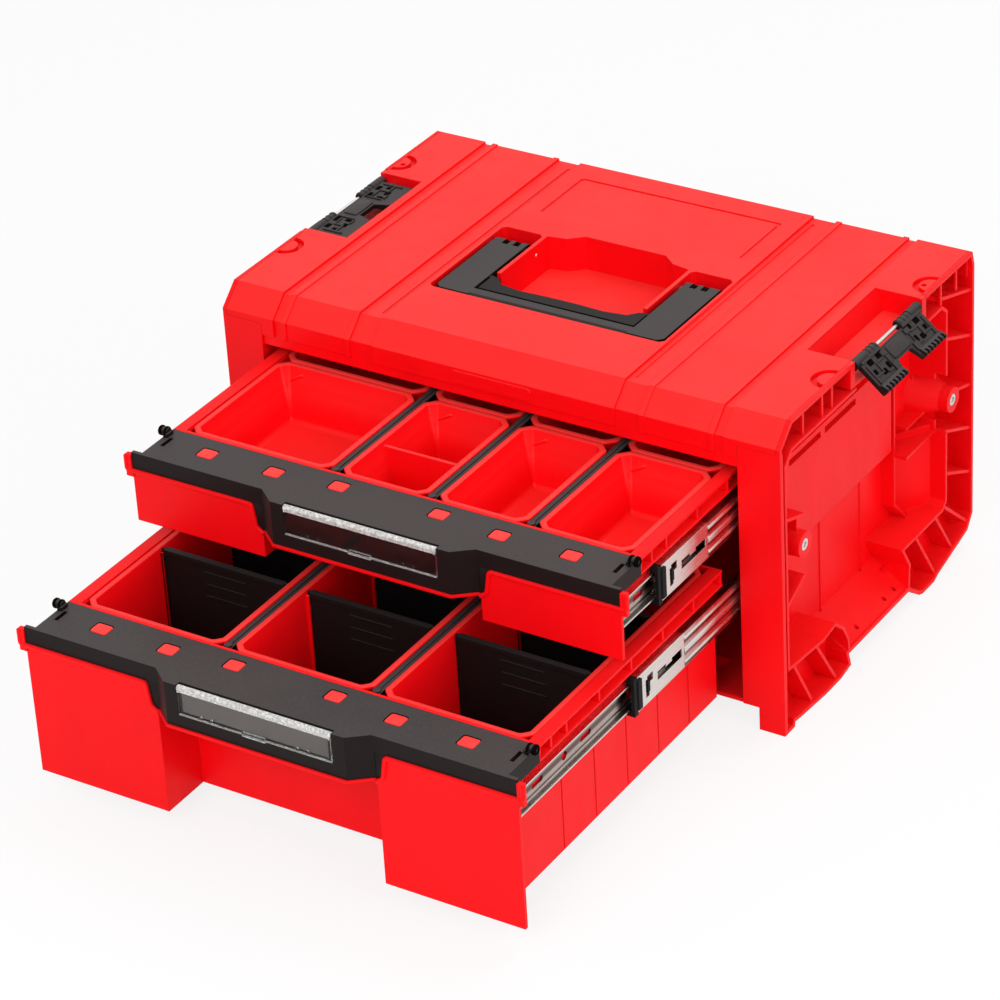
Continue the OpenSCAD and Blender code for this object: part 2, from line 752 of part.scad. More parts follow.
// ---------- stacking latches ----------
// latch in its own frame: pin along Y through the origin, plate along +X, combs on the +Z side
module latch_shape()
  difference() {
    union() {
      // plate with a trapezoid notch between the feet
      along_z(-latch_t / 2, latch_t / 2)
        polygon([
          [3, -foot_w], [latch_l - 1.5, -foot_w], [latch_l, -foot_w + 1.5], [latch_l, -notch_w],
          [latch_l - notch_d, -notch_w + 4], [latch_l - notch_d, notch_w - 4], [latch_l, notch_w],
          [latch_l, foot_w - 1.5], [latch_l - 1.5, foot_w], [3, foot_w]
        ]);
      both_y() {
        // knuckles, larger at the ends
        rod_y(notch_w + 3, foot_w + 1, 0, 0, 3.2);
        rod_y(foot_w - 12, foot_w + 3.6, 0, 0, 3.8);
        span([0, notch_w + 3, -latch_t / 2], [4, foot_w - 1, 3.2]);
        // raised pads beside the middle panel
        span([5, notch_w + 1, latch_t / 2 - 0.4], [9, notch_w + 7, latch_t / 2 + 1.2]);
        span([latch_l - 13, notch_w - 1, latch_t / 2 - 0.4], [latch_l - 7, notch_w + 5, latch_t / 2 + 1.4]);
        // hooked foot
        along_y(notch_w, foot_w)
          polygon([
            [latch_l - 7, -latch_t / 2], [latch_l - 0.5, -latch_t / 2], [latch_l, latch_t / 2], [latch_l, 4.2],
            [latch_l - 2, 5], [latch_l - 7, 3.2]
          ]);
      }
    }
    rod_y(-latch_w, latch_w, 0, 0, latch_pin_r + run);
    // comb of each foot
    both_y()
      for (i = [0:5])
        span([latch_l - 4.4, notch_w + 2.2 + comb_p * i, latch_t / 2 + 0.4],
             [latch_l + 1, notch_w + 4.6 + comb_p * i, latch_t + 5]);
  }

module both_y() {
  children();
  mirror([0, 1, 0])
    children();
}

// swung out by angle a from the horizontal, on the right
module latch_at(a)
  translate([latch_x, latch_y, latch_z])
    rotate([0, a, 0])
      latch_shape();

module latch_right()
  color(dark)
    latch_at(latch_open);

module latch_left()
  color(dark)
    handed(-1)
      latch_at(180);

// ---------- slides ----------
// C-shaped rail section: web from x0 to x0 + steel_t, lips to x1, height h about zc
module c_section(x0, x1, h, zc) {
  w0 = x1 > x0 ? x0 : x0 - steel_t;
  rect([w0, zc - h / 2], [w0 + steel_t, zc + h / 2]);
  for (s = [-1, 1]) {
    zl = s > 0 ? zc + h / 2 - steel_t : zc - h / 2;
    rect([min(x0, x1), zl], [max(x0, x1), zl + steel_t]);
  }
}

module cab_rail(zc)
  difference() {
    union() {
      along_y(rail_y0 + 14, rail_y1)
        c_section(open_x, open_x - 9, cab_h, zc);
      // rear stop tab
      span([open_x - 8, rail_y1 - 1.2, zc - 5], [open_x, rail_y1, zc + 5]);
    }
    for (y = [rail_y0 + 30, (rail_y0 + rail_y1) / 2, rail_y1 - 40])
      span([open_x - 3, y - 6, zc - 2.5], [open_x + 1, y + 6, zc + 2.5]);
  }

module drw_rail(zc)
  difference() {
    union() {
      along_y(rail_y0, rail_y1 - 4)
        c_section(tray_x, tray_x + lip_d, drw_h, zc);
      // pressed band along the web
      span([tray_x + 1, rail_y0, zc - drw_h / 4], [tray_x + steel_t + 1, rail_y1 - 4, zc + drw_h / 4]);
      // front stop
      span([tray_x, rail_y0, zc - 5.4], [tray_x + 4, rail_y0 + 1.2, zc + 5.4]);
    }
    for (y = [rail_y0 + 11, rail_y0 + 68, rail_y0 + 150, rail_y1 - 50])
      rod_x(tray_x - 1, tray_x + 3, y, zc, 3.2);
    for (y = [rail_y0 + 28, rail_y0 + 88, rail_y0 + 170])
      span([tray_x - 1, y, zc - 2], [tray_x + 3, y + 13, zc + 2]);
  }

// middle member with its ball retainers: inner pair at the front, outer pair at the rear
module mid_rail(zc)
  difference() {
    union() {
      along_y(rail_y0 + 1.6, rail_y1 - 1.6)
        c_section(mid_x + steel_t, mid_x - 5.3, mid_h, zc);
      for (s = [-1, 1]) {
        ball_row(zc, s, drw_h / 2 + 2 * run, mid_h / 2 - steel_t, 1, rail_y0 + 16, mid_x - 4.4, mid_x - 2);
        ball_row(zc, s, mid_h / 2, cab_h / 2 - steel_t - 2 * run, -1, rail_y1 - 92, mid_x - 2, mid_x + 0.4);
      }
    }
    // long slot with lumps and the hook hole that show on the outer face
    span([mid_x - 1, rail_y0 + 28, zc - 3.4], [mid_x + 3, rail_y0 + 60, zc + 1]);
    span([mid_x - 1, rail_y0 + 28, zc - 3.4], [mid_x + 3, rail_y0 + 39, zc + 3.2]);
    span([mid_x - 1, rail_y0 + 47, zc - 3.4], [mid_x + 3, rail_y0 + 60, zc + 3.2]);
    span([mid_x - 1, rail_y0 + 12.6, zc - 8.6], [mid_x + 3, rail_y0 + 17, zc + 5]);
    span([mid_x - 1, rail_y0 + 14.6, zc + 1.4], [mid_x + 3, rail_y0 + 22, zc + 7.4]);
    span([mid_x - 1, rail_y0 + 120, zc - 3], [mid_x + 3, rail_y0 + 150, zc + 3]);
    span([mid_x - 1, rail_y1 - 60, zc - 3], [mid_x + 3, rail_y1 - 30, zc + 3]);
  }

// ball retainer strip: balls in a thin carrier between two lips, side s, seated towards c
module ball_row(zc, s, za, zb, c, y0, xa, xb) {
  r = (zb - za) / 2;
  zm = zc + s * (za + r);
  ze = zm + s * c * (r + 0.2);
  for (i = [0:5])
    translate([xa, y0 + 8 + 14 * i, zm])
      rotate([0, 90, 0])
        cylinder(h = xb - xa, r = r, $fn = 16);
  span([xa, y0, min(zm, ze)], [xb, y0 + 86, max(zm, ze)]);
}

// plastic end piece in the front of a middle member, with its release lever
module bumper(zc) {
  for (k = [-1, 1]) {
    z0 = zc + (k > 0 ? drw_h / 2 + 0.6 : -mid_h / 2 - 1.2);
    span([mid_x - 5, rail_y0 - end_l, z0],
         [mid_x + steel_t + 0.4, rail_y0 + 1.4, z0 + (mid_h - drw_h) / 2 + 0.6]);
  }
  span([mid_x - 1, rail_y0 - end_l, zc - mid_h / 2 - 1.2],
       [mid_x + steel_t + 0.4, rail_y0 + 1.4, zc + mid_h / 2 + 1.2]);
  span([mid_x + steel_t + fit, rail_y0 + 1.2, zc - mid_h / 2 + 2],
       [mid_x + steel_t + 1.2, rail_y0 + 6, zc + mid_h / 2 - 2]);
  span([mid_x - 1, rail_y0 + 1.2, zc - 4], [mid_x, rail_y0 + 16.8, zc + 4]);
  span([mid_x - 1, rail_y0 + 13.8, zc - 4.6], [mid_x + steel_t + 0.8, rail_y0 + 16.8, zc + 4]);
}

// ---------- trays ----------
// (x, z) face of one front block with the cap corner cut away
module block_face(zs, zt)
  polygon([
    [pull_x, zs], [front_hx, zs], [front_hx, zt - cap_face], [pull_x + 8, zt - cap_face],
    [pull_x + 6, zt - pull_face + 2], [pull_x, zt - pull_face - 2]
  ]);

// plan of the centre pull bulge, grown by g
module bulge_plan(g)
  polygon([
    [-pull_x + 2 - g, front_y], [-pull_x + 16, front_y - bulge - g], [pull_x - 16, front_y - bulge - g],
    [pull_x - 2 + g, front_y], [pull_x - 2 + g, front_y + 6], [-pull_x + 2 - g, front_y + 6]
  ]);

// x, y of the snap posts that show through the cap
snap_at = [[145, 21.5], [90, 21.5], [40, 26]];

// red drawer moulding: zs skirt, zf floor, zt top edge
module tray_solid(zs, zf, zt, zc)
  difference() {
    union() {
      // tub
      difference() {
        union() {
          span([-tray_x, front_y + 1, zf], [tray_x, tray_y + tray_t, zt - cap_face]);
          span([-tray_x, front_y + plate_t + fit, zf], [tray_x, tray_y + tray_t, zt - shelf_z]);
          span([-tray_x, tray_y, zf], [tray_x, tray_b, zt - 2]);
          span([-skirt_x, tray_y, zs], [skirt_x, tray_y + tray_t, zf + 1]);
        }
        span([-in_x, in_y0, zf + tray_t], [in_x, in_y1, zt + 1]);
        // finger recess
        span([-pull_x, front_y - 1, zs - 1], [pull_x, tray_y, zt - 1]);
        // hollow blocks
        both()
          span([pull_x + tray_t, front_y + plate_t, zf + tray_t], [in_x, tray_y, zt + 1]);
      }
      // front plates with skirt, cut for the cap
      both() {
        along_y(front_y, front_y + plate_t)
          block_face(zs, zt);
        // ledge under the cap face
        span([pull_x + 8, front_y - 1.6, zt - cap_face - 1.8], [front_hx, front_y + 1, zt - cap_face]);
        // flared upper corner
        span([front_hx - 1, front_y - 1, zt - cap_face - 6], [flare_x, front_y + plate_t - 0.2, zt - cap_face]);
        span([front_hx + fit, front_y - 1, zt - cap_face - 1], [flare_x, front_y + plate_t - 0.2, zt - 2]);
        // inner side of the block down to the skirt
        span([pull_x, front_y + 1, zs], [pull_x + tray_t, tray_y + 1, zt - pull_face]);
        span([pull_x, front_y + plate_t + 1, zs], [pull_x + tray_t, tray_y + 1, zt - shelf_z - tray_t]);
        // skirt ribs below the floor
        for (x = [pull_x + 28, pull_x + 60])
          span([x, front_y + 1, zs + 3], [x + 2, tray_y + 1, zf + 1]);
        // pocketed rim
        span([in_x + 0.4, tray_y, zt - 2], [rim_x, tray_b, zt]);
        span([tray_x - 1, tray_y, zt - rim_h], [rim_x, tray_b, zt - rim_h + 1.6]);
        for (y = concat([0, rib_0 - 19, tray_b - tray_y - 2], [for (i = [0:4]) rib_0 + rib_p * i]))
          span([tray_x - 1, tray_y + y, zt - rim_h], [rim_x - 0.6, tray_y + y + 2, zt - 1]);
      }
      span([-rim_x, tray_y, zt - 2], [rim_x, tray_y + tray_t, zt]);
      span([-rim_x, tray_b - tray_t, zt - 2], [rim_x, tray_b, zt]);
      // shelf below the cap
      span([-tray_x, front_y + 8, zt - shelf_z - tray_t], [tray_x, tray_y + 1, zt - shelf_z]);
      // centre lip
      along_z(zt - pull_face - 2, zt - pull_face)
        bulge_plan(1.4);
      along_z(zt - pull_face - 2, zt - pull_face + 2.5)
        rect([-pull_x - 1, front_y + 3.6], [pull_x + 1, front_y + 6]);
      // snap posts
      both()
        for (p = snap_at)
          translate([p.x, front_y + p.y, 0])
            span([-snap_w / 2, -snap_d / 2, zt - shelf_z - 1], [snap_w / 2, snap_d / 2, zt - 0.5]);
    }
    // lines on the tray sides
    both()
      for (i = [0:4])
        span([tray_x - 0.7, tray_y + rib_0 + rib_p * i, zf + 1],
             [tray_x + 1, tray_y + rib_0 + 1.4 + rib_p * i, zc - drw_h / 2 - 1]);
    // light cut-outs in the shelf
    for (x = [-118, -65, 0, 65, 118])
      span([x - 9, front_y + 14, zt - 12], [x + 9, front_y + 30, zt - 2]);
  }

// cap body seen from above, inset by g
module cap_plan(g)
  polygon([
    [-rim_x + g, front_y + g], [-pull_x + 2, front_y + g], [-pull_x + 16, front_y - bulge + g],
    [pull_x - 16, front_y - bulge + g], [pull_x - 2, front_y + g], [rim_x - g, front_y + g],
    [rim_x - g, tray_y - fit - g], [-rim_x + g, tray_y - fit - g]
  ]);

// cap with the wide front strip
module cap_outline() {
  cap_plan(0);
  rect([-front_hx, front_y], [front_hx, front_y + plate_t]);
}

// plan of the centre part of the cap that reaches down
module pull_plan(g)
  intersection() {
    cap_plan(g);
    rect([-pull_x + 0.8 + g, front_y - bulge - 1], [pull_x - 0.8 - g, front_y + 3.4]);
  }

// (x, z) window of the label cover in the pull face
module label_window(zt)
  rect([-label_w / 2 - 0.6, zt - label_h - 3.4], [label_w / 2 + 0.6, zt + 1]);

label_y = front_y - bulge + label_r - 0.4; // barrel axis

module cap_solid(zt)
  difference() {
    union() {
      // top and face over the blocks
      difference() {
        along_z(zt - cap_face + 0.15, zt)
          cap_outline();
        along_z(zt - cap_face - 1, zt - cap_t)
          difference() {
            cap_plan(cap_t);
            rect([-pull_x - 6, front_y - bulge], [pull_x + 6, front_y + 3]);
          }
        // room for the tray
        span([-tray_x - fit, front_y + plate_t, zt - cap_face - 1],
             [tray_x + fit, tray_y + 1, zt - shelf_z + fit]);
      }
      // centre pull, hollow behind
      difference() {
        along_z(zt - pull_face + 0.15, zt - 0.1)
          pull_plan(0);
        along_z(zt - pull_face - 1, zt - cap_t)
          translate([0, cap_t + 2.2])
            pull_plan(cap_t);
      }
      // snap ear at each end
      both() {
        span([rim_x - 4, ear_y - 3.5, zt - 1], [rim_x, ear_y + 3.5, zt + 3]);
        rod_x(rim_x - 3, rim_x + 4, ear_y, zt + 3, 3);
      }
    }
    // windows for the snap posts
    both()
      for (p = snap_at)
        translate([p.x, front_y + p.y, 0])
          span([-snap_w / 2 - fit, -snap_d / 2 - fit, zt - cap_t - 1],
               [snap_w / 2 + fit, snap_d / 2 + fit, zt + 1]);
    // relief slots beside the ears
    both()
      span([rim_x - 8, ear_y - 14, zt - cap_t - 1], [rim_x - 5, ear_y - 2, zt + 1]);
    // label pocket in the pull face and notch for the barrel
    along_y(front_y - bulge - 1, front_y - bulge + 1.6)
      label_window(zt);
    span([-label_w / 2 - 0.6, front_y - bulge - 1, zt - 2 * label_r - 0.8],
         [label_w / 2 + 0.6, label_y + label_r + 0.4, zt + 1]);
    rod_x(-label_w / 2 - 2.4, label_w / 2 + 2.4, label_y, zt - label_r - 0.3, 1 + run);
    // hollow of the pull over the block corners
    both()
      along_y(front_y - 2, front_y + 3.1)
        polygon([
          [pull_x - 0.4, zt - pull_face - 1], [front_hx + 1, zt - pull_face - 1],
          [front_hx + 1, zt - cap_face + 0.1], [pull_x + 7.8, zt - cap_face + 0.1],
          [pull_x + 5.8, zt - pull_face + 2.2]
        ]);
  }

// clear cover: barrel with pintles, plate, tab and two pairs of pips
module label_solid(zt) {
  zb = zt - label_r - 0.3;
  yf = front_y - bulge;
  difference() {
    union() {
      rod_x(-label_w / 2, label_w / 2, label_y, zb, label_r);
      rod_x(-label_w / 2 - 2.2, label_w / 2 + 2.2, label_y, zb, 1);
      span([-label_w / 2 + 0.3, yf + 0.1, zt - label_h - 2.6], [label_w / 2 - 0.3, yf + 1.3, zb]);
      // frame edges
      span([-label_w / 2 + 0.3, yf - 0.5, zt - label_h - 2.6],
           [label_w / 2 - 0.3, yf + 0.6, zt - label_h - 1.4]);
      for (x = [-label_w / 2 + 0.3, label_w / 2 - 1.5])
        span([x, yf - 0.5, zt - label_h - 2.6], [x + 1.2, yf + 0.6, zb]);
      // lift tab
      span([-9, yf - 1.6, zt - label_h - 3], [9, yf + 0.6, zt - label_h + 0.2]);
      // pips
      for (x = [-42, -34, 34, 42])
        translate([x, yf + 0.4, zt - label_h + 0.4])
          rotate([90, 0, 0])
            cylinder(h = 1.4, r = 1, $fn = 12);
    }
    span([-7.4, yf - 2, zt - label_h - 1.8], [7.4, yf - 0.6, zt - label_h - 0.8]);
  }
}

// ---------- bins, strips, dividers ----------
// open bin between x0, x1 and y0, y1 from z0 to z1 with a rim and a finger mark
module bin_solid(x0, x1, y0, y1, z0, z1) {
  difference() {
    union() {
      along_z(z0, z1)
        rect_c([x0 + bin_rim, y0 + bin_rim], [x1 - bin_rim, y1 - bin_rim], bin_c - 2);
      along_z(z1 - 2.4, z1)
        rect_c([x0, y0], [x1, y1], bin_c);
    }
    along_z(z0 + bin_t, z1 + 1)
      rect_c([x0 + bin_rim + bin_t, y0 + bin_rim + bin_t],
             [x1 - bin_rim - bin_t, y1 - bin_rim - bin_t], bin_c - 2.6);
  }
  // finger mark on the rear wall
  translate([(x0 + x1) / 2 - (x1 - x0) * 0.22, y1 - bin_rim - bin_t + 0.2, z1 - 9])
    rotate([90, 0, 0])
      scale([1, 0.5, 1])
        cylinder(h = 1.2, r = 5, $fn = 20);
}

// boundaries of the upper bins along X
u_edge = [-in_x, -in_x + u_wide, -in_x + u_wide + u_mod, -in_x + u_wide + 2 * u_mod, in_x];
l_edge = [-in_x, -in_x + l_mod, -in_x + 2 * l_mod, in_x];

// upper bin in column i, row j
module upper_bin(i, j)
  translate([0, -upper_open, 0])
    bin_solid(
      u_edge[i] + (i == 0 ? fit : strip_w / 2 + fit), u_edge[i + 1] - (i == 3 ? fit : strip_w / 2 + fit),
      in_y0 + j * row_l + fit, in_y0 + (j + 1) * row_l - fit, upper_floor + tray_t + fit / 2, upper_top - 0.6);

module upper_bin_1()
  color(red)
    upper_bin(0, 0);

module upper_bin_2()
  color(red) {
    upper_bin(1, 0);
    // moulded cross wall
    translate([0, -upper_open, 0])
      span([u_edge[1] + strip_w / 2 + bin_rim + 0.5, in_y0 + row_l * 0.44, upper_floor + tray_t + 1],
           [u_edge[2] - strip_w / 2 - bin_rim - 0.5, in_y0 + row_l * 0.44 + bin_t, upper_top - 4]);
  }

module upper_bin_3()
  color(red)
    upper_bin(2, 0);

module upper_bin_4()
  color(red)
    upper_bin(3, 0);

module upper_bin_5()
  color(red)
    upper_bin(0, 1);

module upper_bin_6()
  color(red)
    upper_bin(1, 1);

module upper_bin_7()
  color(red)
    upper_bin(2, 1);

module upper_bin_8()
  color(red)
    upper_bin(3, 1);

// T-shaped strips between the bins, tied by a bar along the rear wall
module strips_solid(xs, zf, zt) {
  for (x = xs) {
    along_y(in_y0 + fit, in_y1 - fit)
      union() {
        rect([x - strip_w / 2 + fit, zt - 3.6], [x + strip_w / 2 - fit, zt - 1.8]);
        rect([x - 0.9, zf + tray_t], [x + 0.9, zt - 2]);
        rect([x - 0.7, zt - 2], [x + 0.7, zt - 1]);
      }
    // locating knobs at both ends
    for (y = [in_y0 + 4, in_y1 - 4])
      translate([x, y, zt - 3])
        cylinder(h = 2.6, r = 2.8, $fn = 24);
  }
}

// lower bin i with guides for its dividers
module lower_bin(i) {
  x0 = l_edge[i] + (i == 0 ? fit : strip_w / 2 + fit);
  x1 = l_edge[i + 1] - (i == 2 ? fit : strip_w / 2 + fit);
  z0 = lower_floor + tray_t + fit / 2;
  z1 = lower_top - 0.6;
  translate([0, -lower_open, 0]) {
    bin_solid(x0, x1, in_y0 + fit, in_y1 - fit, z0, z1);
    for (y = [div_a, div_b])
      for (s = [-1, 1])
        for (x = [x0 + bin_rim + 0.4, x1 - bin_rim - 0.4 - bin_t - 1.6])
          span([x, y + s * (div_t / 2 + 1 + fit / 2) - 1, z0 + 1], [x + bin_t + 1.6, y + s * (div_t / 2 + 1 + fit / 2) + 1, z1 - 3]);
  }
}

module lower_bin_1()
  color(red)
    lower_bin(0);

module lower_bin_2()
  color(red)
    lower_bin(1);

module lower_bin_3()
  color(red)
    lower_bin(2);

// divider of lower bin i at y: plate, thicker top rail and three raised lines
module divider(i, y) {
  x0 = l_edge[i] + (i == 0 ? fit : strip_w / 2 + fit) + bin_rim + bin_t + fit;
  x1 = l_edge[i + 1] - (i == 2 ? fit : strip_w / 2 + fit) - bin_rim - bin_t - fit;
  z0 = lower_floor + tray_t + bin_t + fit;
  z1 = lower_top - 1.6;
  xm = (x0 + x1) / 2;
  translate([0, -lower_open, 0]) {
    span([x0, y - div_t / 2, z0], [x1, y + div_t / 2, z1]);
    span([x0 + 2.2, y - div_t / 2 - 1.3, z1 - 4], [x1 - 2.2, y + div_t / 2 + 1.3, z1]);
    for (k = [1:3])
      span([xm - 17, y - div_t / 2 - 0.5, z1 - 9.5 * k - 0.5], [xm + 17, y, z1 - 9.5 * k + 0.5]);
  }
}

module divider_1()
  color(dark)
    divider(0, div_a);

module divider_2()
  color(dark)
    divider(1, div_a);

module divider_3()
  color(dark)
    divider(2, div_a);

module divider_4()
  color(dark)
    divider(0, div_b);

module divider_5()
  color(dark)
    divider(1, div_b);

module divider_6()
  color(dark)
    divider(2, div_b);

// ---------- drawer pieces in the photographed pose ----------
module upper_tray()
  color(red)
    translate([0, -upper_open, 0])
      tray_solid(upper_skirt, upper_floor, upper_top, upper_slide);

module lower_tray()
  color(red)
    translate([0, -lower_open, 0])
      tray_solid(lower_skirt, lower_floor, lower_top, lower_slide);

module upper_cap()
  color(dark)
    translate([0, -upper_open, 0])
      cap_solid(upper_top);

module lower_cap()
  color(dark)
    translate([0, -lower_open, 0])
      cap_solid(lower_top);

module upper_label()
  color("#d8dde0")
    translate([0, -upper_open, 0])
      label_solid(upper_top);

module lower_label()
  color("#d8dde0")
    translate([0, -lower_open, 0])
      label_solid(lower_top);

module upper_strips()
  color(dark)
    translate([0, -upper_open, 0])
      strips_solid([u_edge[1], u_edge[2], u_edge[3]], upper_floor, upper_top);

module lower_strips()
  color(dark)
    translate([0, -lower_open, 0])
      strips_solid([l_edge[1], l_edge[2]], lower_floor, lower_top);

// ---------- slide pieces ----------
module cab_rail_upper_left()
  color(steel)
    handed(-1)
      cab_rail(upper_slide);

module cab_rail_upper_right()
  color(steel)
    cab_rail(upper_slide);

module cab_rail_lower_left()
  color(steel)
    handed(-1)
      cab_rail(lower_slide);

module cab_rail_lower_right()
  color(steel)
    cab_rail(lower_slide);

module drw_rail_upper_left()
  color(steel)
    translate([0, -upper_open, 0])
      handed(-1)
        drw_rail(upper_slide);

module drw_rail_upper_right()
  color(steel)
    translate([0, -upper_open, 0])
      drw_rail(upper_slide);

module drw_rail_lower_left()
  color(steel)
    translate([0, -lower_open, 0])
      handed(-1)
        drw_rail(lower_slide);

module drw_rail_lower_right()
  color(steel)
    translate([0, -lower_open, 0])
      drw_rail(lower_slide);

module mid_rail_upper_left()
  color(steel)
    translate([0, -upper_open * upper_share, 0])
      handed(-1)
        mid_rail(upper_slide);

module mid_rail_upper_right()
  color(steel)
    translate([0, -upper_open * upper_share, 0])
      mid_rail(upper_slide);

module mid_rail_lower_left()
  color(steel)
    translate([0, -lower_open * lower_share, 0])
      handed(-1)
        mid_rail(lower_slide);

module mid_rail_lower_right()
  color(steel)
    translate([0, -lower_open * lower_share, 0])
      mid_rail(lower_slide);

module bumper_upper_left()
  color(dark)
    translate([0, -upper_open * upper_share, 0])
      handed(-1)
        bumper(upper_slide);

module bumper_upper_right()
  color(dark)
    translate([0, -upper_open * upper_share, 0])
      bumper(upper_slide);

module bumper_lower_left()
  color(dark)
    translate([0, -lower_open * lower_share, 0])
      handed(-1)
        bumper(lower_slide);

module bumper_lower_right()
  color(dark)
    translate([0, -lower_open * lower_share, 0])
      bumper(lower_slide);

top_cover();
side_left();
side_right();
back_panel();
base_floor();
screw_left_front();
screw_left_rear();
screw_right_front();
screw_right_rear();
cab_rail_upper_left();
cab_rail_upper_right();
cab_rail_lower_left();
cab_rail_lower_right();
pivot_left();
pivot_right();
latch_pin_left();
latch_pin_right();
handle_frame();
handle_grip();
latch_left();
latch_right();
upper_tray();
upper_cap();
upper_strips();
upper_label();
upper_bin_1();
upper_bin_2();
upper_bin_3();
upper_bin_4();
upper_bin_5();
upper_bin_6();
upper_bin_7();
upper_bin_8();
drw_rail_upper_left();
drw_rail_upper_right();
lower_tray();
lower_cap();
lower_strips();
lower_label();
lower_bin_1();
lower_bin_2();
lower_bin_3();
divider_1();
divider_2();
divider_3();
divider_4();
divider_5();
divider_6();
drw_rail_lower_left();
drw_rail_lower_right();
mid_rail_upper_left();
mid_rail_upper_right();
mid_rail_lower_left();
mid_rail_lower_right();
bumper_upper_left();
bumper_upper_right();
bumper_lower_left();
bumper_lower_right();
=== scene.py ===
"""Looks of the portable tool box with drawers, laid out as an add-on and run as a script."""

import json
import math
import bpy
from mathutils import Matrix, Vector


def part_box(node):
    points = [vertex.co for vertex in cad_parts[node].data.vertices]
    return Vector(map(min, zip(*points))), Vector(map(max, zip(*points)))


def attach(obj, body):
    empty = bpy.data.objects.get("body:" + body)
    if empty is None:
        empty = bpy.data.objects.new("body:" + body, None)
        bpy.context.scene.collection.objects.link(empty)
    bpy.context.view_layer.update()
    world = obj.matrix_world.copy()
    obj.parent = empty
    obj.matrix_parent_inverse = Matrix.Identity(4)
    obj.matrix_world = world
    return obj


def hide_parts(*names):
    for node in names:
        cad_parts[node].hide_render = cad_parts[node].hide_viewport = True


bl_info = {
    "name": "Portable Tool Box Looks",
    "version": (1, 0, 0),
    "blender": (4, 5, 0),
    "location": "View3D > Sidebar > Tool Box",
    "description": "Finishes, fine parts, stage and camera for the two drawer tool box",
    "category": "Object",
}

import bmesh
import bpy
import numpy as np
from mathutils import Matrix

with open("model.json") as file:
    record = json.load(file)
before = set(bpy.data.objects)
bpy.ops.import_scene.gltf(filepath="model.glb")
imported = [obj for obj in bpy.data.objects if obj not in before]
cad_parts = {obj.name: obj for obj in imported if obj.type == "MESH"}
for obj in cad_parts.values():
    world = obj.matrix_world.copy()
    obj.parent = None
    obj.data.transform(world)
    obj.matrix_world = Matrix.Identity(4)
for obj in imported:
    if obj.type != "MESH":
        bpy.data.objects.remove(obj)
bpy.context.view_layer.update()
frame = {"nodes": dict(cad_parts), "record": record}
NODES = frame["nodes"]
RECORD = frame["record"]
BODY_OF = {n: b for b, names in RECORD["behaviour"]["bodies"].items() for n in names}
SLOT_OF = {p["node"]: p["material_slot"] for p in RECORD["subparts"]}
ROWS = ("upper", "lower")
HANDS = (("left", -1), ("right", 1))
MM = 0.001
RIGHT, FORWARD, BACKWARD, UP = (1, 0, 0), (0, -1, 0), (0, 1, 0), (0, 0, 1)
WHITE = (1, 1, 1, 1)
POLE = 0.02  # how small the last ring at a pole is: millimetres, or a share of a lens's radius


# ---------- shader maths ----------
class Wire:
    """One output socket; maths written on it adds Math nodes to its tree."""

    def __init__(self, tree, out):
        self.tree, self.out = tree, out

    def _math(self, operation, first, second=None):
        node = self.tree.nodes.new("ShaderNodeMath")
        node.operation = operation
        for socket, value in zip(node.inputs, (first, second)):
            if isinstance(value, Wire):
                self.tree.links.new(value.out, socket)
            elif value is not None:
                socket.default_value = value
        return Wire(self.tree, node.outputs[0])

    def __add__(self, other):
        return self._math("ADD", self, other)

    def __radd__(self, other):
        return self._math("ADD", other, self)

    def __sub__(self, other):
        return self._math("SUBTRACT", self, other)

    def __rsub__(self, other):
        return self._math("SUBTRACT", other, self)

    def __mul__(self, other):
        return self._math("MULTIPLY", self, other)

    def __rmul__(self, other):
        return self._math("MULTIPLY", other, self)

    def __gt__(self, other):
        return self._math("GREATER_THAN", self, other)

    def clamp(self):
        return self._math("MINIMUM", self._math("MAXIMUM", self, 0.0), 1.0)

    def swing(self, by):
        """A noise of 0 to 1 moved to lie about 0 and stretched."""
        return (self - 0.5) * by


